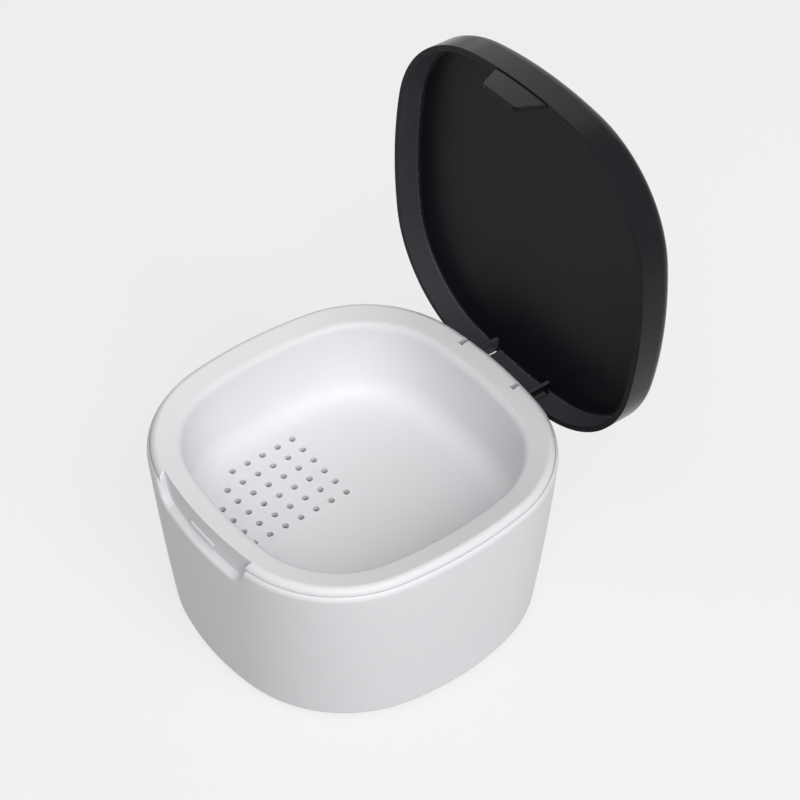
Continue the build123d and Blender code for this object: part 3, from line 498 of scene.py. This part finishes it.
def cad_copy(node: str, least_match: float = 0.92) -> bpy.types.Mesh:
    """Copies a CAD node's mesh, merges its loose triangles and keeps its exact surface normals.

    Args:
        node: The node's name.
        least_match: The cosine between a corner's normal and its face's from which the corner's is kept.

    Returns:
        The merged mesh.
    """
    source = frame["nodes"][node].data
    made = bmesh.new()
    made.from_mesh(source)
    made.faces.ensure_lookup_table()
    exact = made.loops.layers.float_vector.new("exact")
    corners = source.corner_normals
    for face, polygon in zip(made.faces, source.polygons):
        for loop, index in zip(face.loops, polygon.loop_indices):
            corner = corners[index].vector
            # where a surface closes in a point its normal is lost there, and the face's own is truer
            loop[exact] = corner if corner.dot(face.normal) > least_match else face.normal
    bmesh.ops.remove_doubles(made, verts=made.verts, dist=MERGE)
    mesh = bpy.data.meshes.new(node)
    made.to_mesh(mesh)
    made.free()
    kept = [tuple(item.vector) for item in mesh.attributes["exact"].data]
    mesh.shade_smooth()
    mesh.normals_split_custom_set(kept)
    mesh.attributes.remove(mesh.attributes["exact"])
    return mesh


# ---------------------------------------------------------------- sub-assemblies
@dataclass
class Casing:
    """The white casing, the tub, the base plate, its feet and screws, and the hinge pin."""

    rack: Rack

    def build(self) -> None:
        """Dresses the casing's nodes, whose CAD shapes are right as they are."""
        dress(self.rack, "satin_white_abs", "outer_shell", "inner_tub")
        dress(self.rack, "satin_offwhite_abs", "base_plate")
        dress(self.rack, "moulded_grey_rubber", "rubber_feet")
        dress(self.rack, "zinc_plated_steel", "hinge_pin", "base_screws", "fan_screws", "board_screws")


@dataclass
class Lid:
    """The black lid: polished outside, fine-grained inside, and painted a lighter grey in a band round inside
    its skirt, which is painted reflection.

    Attributes:
        rack: The finishes.
        eye: A point in front of the open hollow, in millimetres. A face that turns towards it is inside.
        band_from: How far back the band inside the skirt starts, in millimetres.
        facing: The cosine to the eye from which a face is inside.
        band_slope: The part of a face's normal along Y up to which it belongs to the band.
    """

    rack: Rack
    eye: Vector = field(default_factory=lambda: Vector((0.0, 20.0, 86.0)))
    band_from: float = 40.5
    facing: float = 0.12
    band_slope: float = 0.5

    def build(self) -> None:
        """Copies the lid and gives its inside faces their own finishes."""
        mesh = cad_copy("lid")
        eye = self.eye * MM
        for polygon in mesh.polygons:
            inside = polygon.normal.dot((eye - polygon.center).normalized()) > self.facing
            # faces of the band inside the skirt take the lighter grey, which is painted reflection
            upright = abs(polygon.normal.y) < self.band_slope and polygon.center.y > self.band_from * MM
            polygon.material_index = (2 if upright else 1) if inside else 0
        names = ("polished_black_abs", "eroded_black_abs", "skirt_band_painted_reflection_abs")
        finishes = [self.rack.get(name) for name in names]
        add_piece("lid_moulding", mesh, "lid", finishes, ("lid",))


@dataclass
class BackPanel:
    """The button, the lamp and the power inlet at the back.

    Attributes:
        rack: The finishes.
        contacts: How many contacts lie on each side of the inlet's tongue.
        contact_pitch: From one contact to the next, in millimetres.
        contact_size: A contact's width, length and height, in millimetres.
        contact_round: The radius of a contact's edges, in millimetres.
        contact_setback: From the inlet's mouth to the contacts' ends, in millimetres.
        tongue_height: The tongue's thickness, in millimetres.
    """

    rack: Rack
    contacts: int = 10
    contact_pitch: float = 0.5
    contact_size: tuple[float, float, float] = (0.26, 4.6, 0.05)
    contact_round: float = 0.02
    contact_setback: float = 0.3
    tongue_height: float = 0.7

    def build(self) -> None:
        """Dresses the panel's nodes and lays the inlet's contacts on its tongue."""
        dress(self.rack, "rolled_tinned_sheet", "usb_socket")
        dress(self.rack, "light_grey_key_abs", "power_button")
        dress(self.rack, "clear_acrylic", "light_pipe", "status_led")
        dress(self.rack, "moulded_epoxy", "tact_switch")
        dress(self.rack, "natural_nylon", "switch_plunger")
        low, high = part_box("usb_socket")
        middle = (low + high) / 2
        made = bmesh.new()
        width, length, height = [size * MM for size in self.contact_size]
        y = high.y - self.contact_setback * MM
        for side in (-1, 1):
            z = middle.z + side * self.tongue_height * MM / 2
            for number in range(self.contacts):
                x = middle.x + (number - (self.contacts - 1) / 2) * self.contact_pitch * MM
                add_block(
                    made,
                    Vector((x - width / 2, y - length, z - height / 2)),
                    Vector((x + width / 2, y, z + height / 2)),
                    self.contact_round,
                )
        gold = self.rack.get("gold_flashed_contact")
        add_piece("inlet_contacts", finish_mesh(made), "casing", [gold])


@dataclass
class Fan:
    """The fan under the duct: its frame, its wound stator and its rotor with twisted blades.

    Attributes:
        rack: The finishes.
        blades: How many blades the rotor has.
        hub_radius: The hub's radius. This and the other sizes are in millimetres.
        hub_height: The hub's height.
        hub_wall: The thickness of the hub's side.
        hub_cap: The thickness of the hub's top.
        hub_dish: Radius of the flat floor of the shallow dish in the hub's top.
        hub_dish_depth: The dish's depth.
        hub_round: The rounding of the hub's upper edge.
        shaft_radius: The shaft's radius.
        tip_radius: From the axis to the blades' tips.
        blade_sink: How far a blade runs into the hub.
        blade_thickness: The blades' thickness.
        root_pitch: The blade's slope at the hub, in degrees.
        tip_pitch: Its slope at the tip, in degrees.
        chord: Its width.
        camber: How far it bows between its edges.
        sweep: How far its tip is turned ahead of its root, in radians.
        core_ring: The inner and outer radius of the stator's ring.
        core_heights: The lowest and highest height of the ring and the poles.
        pole_ends: Where a pole starts and ends, from the axis.
        pole_width: A pole's width.
        pole_round: The radius of a pole's edges.
        shoe: Radius and height of the corners of a pole's shoe.
        shoe_half: Half the angle that a shoe covers, in degrees.
        turns: How many turns show on each pole.
        first_turn: From the axis to the first turn.
        turn_pitch: From one turn to the next.
        turn_radius: Half a turn's height, to the middle of the wire.
        turn_bulge: How far a turn reaches to each side of its pole's middle.
        turn_squareness: The power that squares a round turn off. 1 leaves it round.
        wire_radius: The wire's radius.
    """

    rack: Rack
    blades: int = 7
    hub_radius: float = 7.0
    hub_height: float = 4.9
    hub_wall: float = 1.2
    hub_cap: float = 1.0
    hub_dish: float = 2.2
    hub_dish_depth: float = 0.25
    hub_round: float = 0.5
    shaft_radius: float = 0.75
    tip_radius: float = 13.25
    blade_sink: float = 0.3
    blade_thickness: float = 0.7
    root_pitch: float = 46.0
    tip_pitch: float = 28.0
    chord: float = 5.2
    camber: float = 0.45
    sweep: float = 0.10
    core_ring: tuple[float, float] = (2.02, 2.7)
    core_heights: tuple[float, float] = (6.35, 7.45)
    pole_ends: tuple[float, float] = (2.5, 4.75)
    pole_width: float = 1.5
    pole_round: float = 0.05
    shoe: tuple = ((4.55, 5.95), (5.15, 5.75), (5.15, 8.05), (4.55, 7.85))
    shoe_half: float = 33.0
    turns: int = 5
    first_turn: float = 2.95
    turn_pitch: float = 0.33
    turn_radius: float = 1.22
    turn_bulge: float = 1.3
    turn_squareness: float = 0.7
    wire_radius: float = 0.16

    def build(self) -> None:
        """Dresses the frame, and makes the rotor and the stator."""
        dress(self.rack, "matt_black_nylon", "fan_frame")
        low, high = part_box("fan_stator")
        middle = (low + high) / 2
        axis = Vector((middle.x, middle.y, 0))
        self.make_rotor(axis)
        self.make_stator(axis, middle.z)

    def make_rotor(self, axis: Vector) -> None:
        """Spins the hub and sets the twisted blades round it.

        Args:
            axis: The fan's axis, as all axes here a point at the height of the table.
        """
        low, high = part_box("fan_rotor")
        top, tip = high.z / MM, low.z / MM
        foot, dished, ceiling = top - self.hub_height, top - self.hub_dish_depth, top - self.hub_cap
        r = self.hub_radius
        made = bmesh.new()
        profile = [
            (0, dished),
            (self.hub_dish, dished),
            (self.hub_dish + 0.3, top),
            (r - self.hub_round, top),
            (r - self.hub_round * 0.3, top - self.hub_round * 0.3),
            (r, top - self.hub_round),
            (r, foot),
            (r - self.hub_wall, foot),
            (r - self.hub_wall, ceiling),
            (self.shaft_radius, ceiling),
            (self.shaft_radius, tip),
            (0, tip),
        ]
        spin_round(made, profile, axis, 96)
        self.add_blades(made, axis, (top + foot) / 2)
        nylon = self.rack.get("matt_black_nylon")
        add_piece("fan_impeller", finish_mesh(made), "rotor", [nylon], ("fan_rotor",))

    def add_blades(self, made: bmesh.types.BMesh, axis: Vector, middle: float) -> None:
        """Bends one grid into a blade and copies it round the hub.

        Args:
            made: The rotor's bmesh.
            axis: The fan's axis.
            middle: The blades' middle height, in millimetres.
        """
        before = set(made.verts)
        bmesh.ops.create_grid(made, x_segments=8, y_segments=6, size=0.5)
        verts = [vert for vert in made.verts if vert not in before]
        root = self.hub_radius - self.blade_sink
        for vert in verts:
            along, across = vert.co.x + 0.5, vert.co.y
            radius = root + along * (self.tip_radius - root)
            pitch = math.radians(self.root_pitch + along * (self.tip_pitch - self.root_pitch))
            bow = self.camber * (1 - 4 * across * across)
            tangent = across * self.chord * math.cos(pitch) - bow * math.sin(pitch)
            height = middle + across * self.chord * math.sin(pitch) + bow * math.cos(pitch)
            turn = tangent / radius + self.sweep * along
            vert.co = axis + Vector((radius * math.cos(turn), radius * math.sin(turn), height)) * MM
        faces = list({face for vert in verts for face in vert.link_faces})
        shell = bmesh.ops.solidify(made, geom=faces, thickness=self.blade_thickness * MM)["geom"]
        blade = list({*faces, *[item for item in shell if isinstance(item, bmesh.types.BMFace)]})
        bmesh.ops.spin(
            made,
            geom=blade,
            cent=axis,
            axis=Z_AXIS,
            angle=math.tau * (self.blades - 1) / self.blades,
            steps=self.blades - 1,
            use_duplicate=True,
        )

    def make_stator(self, axis: Vector, middle: float) -> None:
        """Makes the stator's core with its pole shoes, and winds copper round each pole.

        Args:
            axis: The fan's axis.
            middle: The winding's middle height, in metres.
        """
        inner, outer = self.core_ring
        foot, top = self.core_heights
        start, end = self.pole_ends
        made = bmesh.new()
        profile = [(inner, foot), (outer, foot), (outer, top), (inner, top), (inner, foot)]
        spin_round(made, profile, axis, 48)
        self.add_shoe(made, axis)
        add_block(
            made,
            axis + Vector((start, -self.pole_width / 2, foot)) * MM,
            axis + Vector((end, self.pole_width / 2, top)) * MM,
            self.pole_round,
        )
        core_faces = len(made.faces)
        for turn in range(self.turns):
            self.add_turn(made, axis, middle, self.first_turn + turn * self.turn_pitch)
        for number, face in enumerate(made.faces):
            face.material_index = 0 if number < core_faces else 1
        reach = (outer + 0.02) * MM
        pole = [face for face in made.faces if (face.calc_center_median().xy - axis.xy).length >= reach]
        bmesh.ops.spin(
            made,
            geom=pole,
            cent=axis,
            axis=Z_AXIS,
            angle=1.5 * math.pi,
            steps=3,
            use_duplicate=True,
        )
        finishes = [self.rack.get("stacked_core_steel"), self.rack.get("enamelled_copper")]
        add_piece("wound_stator", finish_mesh(made), "casing", finishes, ("fan_stator",))

    def add_shoe(self, made: bmesh.types.BMesh, axis: Vector) -> None:
        """Spins the shoe of the pole that points along X, and closes its ends.

        Args:
            made: The stator's bmesh.
            axis: The fan's axis.
        """
        half = math.radians(self.shoe_half)
        turn = Matrix.Rotation(-half, 3, "Z")
        corners = [made.verts.new(axis + turn @ Vector((r, 0, z)) * MM) for r, z in self.shoe]
        rim = [made.edges.new(pair) for pair in zip(corners, corners[1:] + corners[:1])]
        bmesh.ops.spin(made, geom=corners + rim, cent=axis, axis=Z_AXIS, angle=2 * half, steps=12)
        open_edges = [edge for edge in made.edges if edge.is_boundary]
        bmesh.ops.holes_fill(made, edges=open_edges, sides=len(corners))

    def add_turn(self, made: bmesh.types.BMesh, axis: Vector, middle: float, radius: float) -> None:
        """Lays one turn of wire round the pole that points along X.

        Args:
            made: The stator's bmesh.
            axis: The fan's axis.
            middle: The winding's middle height, in metres.
            radius: The turn's distance from the axis, in millimetres.
        """
        centre = Vector((axis.x + radius * MM, axis.y, middle))
        place = Matrix.Translation(centre + Z_AXIS * self.turn_radius * MM)
        upright = Matrix.Rotation(math.pi / 2, 4, "Y") @ Matrix.Rotation(math.pi / 2, 4, "X")
        before = set(made.verts)
        ring = bmesh.ops.create_circle(
            made, cap_ends=False, segments=8, radius=self.wire_radius * MM, matrix=place @ upright
        )["verts"]
        edges = list({edge for vert in ring for edge in vert.link_edges})
        bmesh.ops.spin(
            made, geom=ring + edges, cent=centre, axis=X_AXIS, angle=math.tau, steps=24, use_merge=True
        )
        widest = self.turn_radius + self.wire_radius
        for vert in made.verts:
            if vert not in before:
                off = vert.co.y - centre.y
                share = abs(off / MM / widest) ** self.turn_squareness
                vert.co.y = centre.y + math.copysign(share * self.turn_bulge, off) * MM


@dataclass
class AirPath:
    """The duct, its gasket, and the heater in it."""

    rack: Rack

    def build(self) -> None:
        """Dresses the nodes that the air passes."""
        dress(self.rack, "dark_moulded_polyester", "air_duct")
        dress(self.rack, "cut_foam_rubber", "duct_gasket")
        dress(self.rack, "rolled_tinned_sheet", "heater_bracket", "thermal_cutoff")
        dress(self.rack, "extruded_aluminium", "heater_fins")
        dress(self.rack, "fired_ceramic", "ptc_element")


@dataclass
class Board:
    """The control board with its chip, its small parts, its connectors and their leads.

    Attributes:
        rack: The finishes.
        leads_a_side: The chip's leads on each side.
        lead_pitch: From one lead to the next. This and the other sizes are in millimetres.
        lead_width: A lead's width.
        lead_thickness: The thickness of its sheet.
        lead_bends: How far out of the chip, and how high above the board, a lead bends.
        can_radius: The tall capacitor's radius.
        can_rim: The width of the sleeve's edge on the capacitor's top.
        can_groove: The depth of the groove round its foot.
        chip_size: A small part's length, depth and height.
        chip_cap: The length of its tinned ends.
        chip_waist: How far its body lies inside its ends.
        chip_round: The radius of its edges.
        chip_spacing: From one small part to the next.
        chips: How many small parts stand in the row.
        pin_spreads: The plugs, and the distance between the two pins of each.
        pin_half: Half a pin's width.
        pin_heights: How far a pin's foot and tip lie below its plug's top.
        pin_round: The radius of a pin's edges.
    """

    rack: Rack
    leads_a_side: int = 7
    lead_pitch: float = 0.8
    lead_width: float = 0.32
    lead_thickness: float = 0.1
    lead_bends: tuple = ((-0.1, 0.75), (0.35, 0.75), (0.55, 0.62), (0.62, 0.2), (0.75, 0.06), (1.25, 0.06))
    can_radius: float = 2.5
    can_rim: float = 0.6
    can_groove: float = 0.22
    chip_size: tuple[float, float, float] = (2.0, 1.25, 0.9)
    chip_cap: float = 0.38
    chip_waist: float = 0.04
    chip_round: float = 0.06
    chip_spacing: float = 3.0
    chips: int = 4
    pin_spreads: tuple = (("fan_connector", 1.6), ("heater_connector", 2.66))
    pin_half: float = 0.3
    pin_heights: tuple[float, float] = (1.7, 0.3)
    pin_round: float = 0.12

    def build(self) -> None:
        """Dresses the board's nodes and makes its finer parts."""
        dress(self.rack, "lacquered_laminate", "control_board")
        dress(self.rack, "moulded_epoxy", "timer_chip")
        dress(self.rack, "natural_nylon", "fan_connector", "heater_connector")
        dress(self.rack, "red_silicone_wire", "fan_lead")
        dress(self.rack, "white_silicone_wire", "heater_lead")
        self.make_chip_leads()
        self.make_small_parts()
        self.make_plug_pins()

    def make_chip_leads(self) -> None:
        """Bends a row of leads down to the board and copies it round the chip."""
        low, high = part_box("timer_chip")
        centre = (low + high) / 2
        spans = len(self.lead_bends) - 1
        made = bmesh.new()
        for number in range(self.leads_a_side):
            y = centre.y + (number - (self.leads_a_side - 1) / 2) * self.lead_pitch * MM
            before = set(made.verts)
            bmesh.ops.create_grid(made, x_segments=spans, y_segments=1, size=0.5)
            verts = [vert for vert in made.verts if vert not in before]
            for vert in verts:
                out, rise = self.lead_bends[round((vert.co.x + 0.5) * spans)]
                across = vert.co.y * self.lead_width * MM
                vert.co = Vector((high.x + out * MM, y + across, low.z + rise * MM))
            faces = list({face for vert in verts for face in vert.link_faces})
            bmesh.ops.solidify(made, geom=faces, thickness=-self.lead_thickness * MM)
        bmesh.ops.spin(
            made,
            geom=made.faces[:],
            cent=centre,
            axis=Z_AXIS,
            angle=1.5 * math.pi,
            steps=3,
            use_duplicate=True,
        )
        tin = self.rack.get("rolled_tinned_sheet")
        add_piece("chip_leads", finish_mesh(made), "casing", [tin])

    def make_small_parts(self) -> None:
        """Makes the sleeved capacitor and the row of chips with tinned ends."""
        low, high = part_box("board_parts")
        made = bmesh.new()
        self.add_capacitor(made, low.z / MM, high)
        for number in range(self.chips):
            self.add_chip(made, low + X_AXIS * number * self.chip_spacing * MM)
        names = ("shrunk_blue_sleeve", "rolled_tinned_sheet", "brown_chip_ceramic")
        finishes = [self.rack.get(name) for name in names]
        mesh = finish_mesh(made)
        add_piece("capacitor_and_chips", mesh, "casing", finishes, ("board_parts",))

    def add_capacitor(self, made: bmesh.types.BMesh, foot: float, high: Vector) -> None:
        """Spins the capacitor, whose bare metal top shows inside the edge of its sleeve.

        Args:
            made: The bmesh of the small parts.
            foot: The height of its foot, in millimetres.
            high: The highest corner of the small parts' box, whose top and sides it touches there.
        """
        top, r = high.z / MM, self.can_radius
        axis = Vector((high.x - r * MM, high.y - r * MM, 0))
        profile = [
            (0, top - 0.25),
            (r - self.can_rim - 0.15, top - 0.25),
            (r - self.can_rim, top - 0.05),
            (r - 0.35, top),
            (r - 0.1, top - 0.12),
            (r, top - 0.4),
            (r, foot + 1.5),
            (r - self.can_groove, foot + 1.2),
            (r, foot + 0.9),
            (r, foot + 0.1),
            (r - 0.1, foot),
            (0, foot),
        ]
        spin_round(made, profile, axis, 64)
        bare_from, bare_within = (top - 0.3) * MM, (r - self.can_rim - 0.02) * MM
        for face in made.faces:
            centre = face.calc_center_median()
            bare = centre.z > bare_from and (centre.xy - axis.xy).length < bare_within
            face.material_index = 1 if bare else 0

    def add_chip(self, made: bmesh.types.BMesh, base: Vector) -> None:
        """Adds one small part: a ceramic body between two tinned ends.

        Args:
            made: The bmesh of the small parts.
            base: Its lowest corner.
        """
        length, depth, height = self.chip_size
        cap, waist = self.chip_cap, self.chip_waist
        for start, end, inset, finish in (
            (0, cap, 0.0, 1),
            (cap, length - cap, waist, 2),
            (length - cap, length, 0.0, 1),
        ):
            faces = add_block(
                made,
                base + Vector((start, inset, 0)) * MM,
                base + Vector((end, depth - inset, height - inset)) * MM,
                self.chip_round,
            )
            for face in faces:
                face.material_index = finish

    def make_plug_pins(self) -> None:
        """Stands two tinned pins in each connector."""
        made = bmesh.new()
        half = self.pin_half * MM
        foot, tip = [height * MM for height in self.pin_heights]
        for plug, spread in self.pin_spreads:
            low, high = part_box(plug)
            middle = (low + high) / 2
            for side in (-1, 1):
                x = middle.x + side * spread / 2 * MM
                add_block(
                    made,
                    Vector((x - half, middle.y - half, high.z - foot)),
                    Vector((x + half, middle.y + half, high.z - tip)),
                    self.pin_round,
                )
        tin = self.rack.get("rolled_tinned_sheet")
        add_piece("plug_pins", finish_mesh(made), "casing", [tin])


# ---------------------------------------------------------------- stage
@dataclass
class Studio:
    """The camera, the lamps, the room and the pale floor.

    Attributes:
        camera_place: Where the camera stands.
        camera_right: The picture's right.
        camera_up: The picture's up.
        camera_back: The direction from the object to the camera.
        lens_mm: Its focal length.
        sensor_mm: The width of its sensor.
        floor_half: Half the floor's side.
        backdrop: The colour that the floor and the room show.
        floor_bounce: The colour of the light that the floor throws back on the object.
        plain_share: How much of the floor's look is its plain colour, the rest being its shaded paint.
        room_light: How strongly the room itself lights the object.
        lamps: Name, place, side and power of each lamp.
        lamp_aim: The point that the lamps are turned to.
    """

    camera_place: Vector = field(default_factory=lambda: Vector((0.28143, -0.20230, 0.40232)))
    camera_right: Vector = field(default_factory=lambda: Vector((0.60987, 0.79250, 0.00026)))
    camera_up: Vector = field(default_factory=lambda: Vector((-0.55585, 0.42752, 0.71292)))
    camera_back: Vector = field(default_factory=lambda: Vector((0.56488, -0.43493, 0.70124)))
    lens_mm: float = 93.5
    sensor_mm: float = 36.0
    floor_half: float = 3.0
    backdrop: str = "f5f5f5"
    floor_bounce: str = "a8a8ab"
    plain_share: float = 0.78
    room_light: float = 0.12
    lamps: tuple = (
        ("key", (0.78, -0.20, 0.80), 1.3, 14.5),
        ("front_top", (-0.30, -0.35, 1.05), 0.9, 1.7),
        ("back_fill", (-0.55, 0.85, 0.60), 1.0, 2.4),
    )
    lamp_aim: Vector = field(default_factory=lambda: Vector((0, 0, 0.04)))

    def place_camera(self) -> None:
        """Stands the camera where the photograph was taken from."""
        data = bpy.data.cameras.new("camera")
        data.sensor_width = self.sensor_mm
        data.lens = self.lens_mm
        camera = bpy.data.objects.new("camera", data)
        turn = Matrix((self.camera_right, self.camera_up, self.camera_back)).transposed()
        camera.matrix_world = Matrix.Translation(self.camera_place) @ turn.to_4x4()
        bpy.context.scene.collection.objects.link(camera)
        bpy.context.scene.camera = camera

    def lay_floor(self) -> None:
        """Lays the pale floor, which keeps the object's soft shadow."""
        mesh = bpy.data.meshes.new("floor")
        made = bmesh.new()
        bmesh.ops.create_grid(made, x_segments=1, y_segments=1, size=self.floor_half)
        made.to_mesh(mesh)
        made.free()
        floor = bpy.data.objects.new("floor", mesh)
        bpy.context.scene.collection.objects.link(floor)
        mesh.materials.append(self.pale_paint())

    def pale_paint(self) -> bpy.types.Material:
        """Makes the floor's paint, which shows its pale colour and a faint shadow whatever the lamps do.

        Returns:
            The material.
        """
        paint = bpy.data.materials.new("pale_floor_paint")
        paint.use_nodes = True
        tree = paint.node_tree
        shader = tree.nodes["Principled BSDF"]
        seen = seen_directly(tree)
        colour = add_node(
            tree,
            "Mix",
            {"data_type": "RGBA", 6: linear(self.floor_bounce), 7: linear(self.backdrop)},
            {0: seen},
        ).outputs[2]
        tree.links.new(colour, shader.inputs["Base Color"])
        shader.inputs["Roughness"].default_value = 0.7
        shader.inputs["Specular IOR Level"].default_value = 0.1
        plain = add_node(tree, "Emission", {"Color": linear(self.backdrop), "Strength": 1.0}).outputs[0]
        share = add_node(tree, "MapRange", {"To Max": self.plain_share}, {"Value": seen}).outputs["Result"]
        mixed = add_node(tree, "MixShader", {}, {0: share, 1: shader.outputs[0], 2: plain}).outputs[0]
        tree.links.new(mixed, tree.nodes["Material Output"].inputs["Surface"])
        return paint

    def light(self) -> None:
        """Lights the object with broad soft lamps and a plain pale room."""
        for name, place, side, power in self.lamps:
            data = bpy.data.lights.new(name, "AREA")
            data.shape = "SQUARE"
            data.size = side
            data.energy = power
            lamp = bpy.data.objects.new(name, data)
            turn = (self.lamp_aim - Vector(place)).to_track_quat("-Z", "Y")
            lamp.matrix_world = Matrix.Translation(place) @ turn.to_matrix().to_4x4()
            bpy.context.scene.collection.objects.link(lamp)
        world = bpy.data.worlds.new("room")
        world.use_nodes = True
        tree = world.node_tree
        back = tree.nodes["Background"]
        back.inputs["Color"].default_value = linear(self.backdrop)
        strength = add_node(
            tree, "MapRange", {"To Min": self.room_light, "To Max": 1.0}, {"Value": seen_directly(tree)}
        ).outputs["Result"]
        tree.links.new(strength, back.inputs["Strength"])
        bpy.context.scene.world = world

    def build(self) -> None:
        """Sets up everything that isn't part of the object."""
        self.place_camera()
        self.lay_floor()
        self.light()
        bpy.context.scene.view_settings.view_transform = "Standard"


def main() -> None:
    """Builds the stage and the object's looks."""
    logging.basicConfig(level=logging.INFO, stream=sys.stdout)
    Studio().build()
    rack = Rack()
    for part in (Casing(rack), Lid(rack), BackPanel(rack), Fan(rack), AirPath(rack), Board(rack)):
        part.build()
        LOG.info("%s is done", type(part).__name__)


if __name__ == "__main__":
    main()
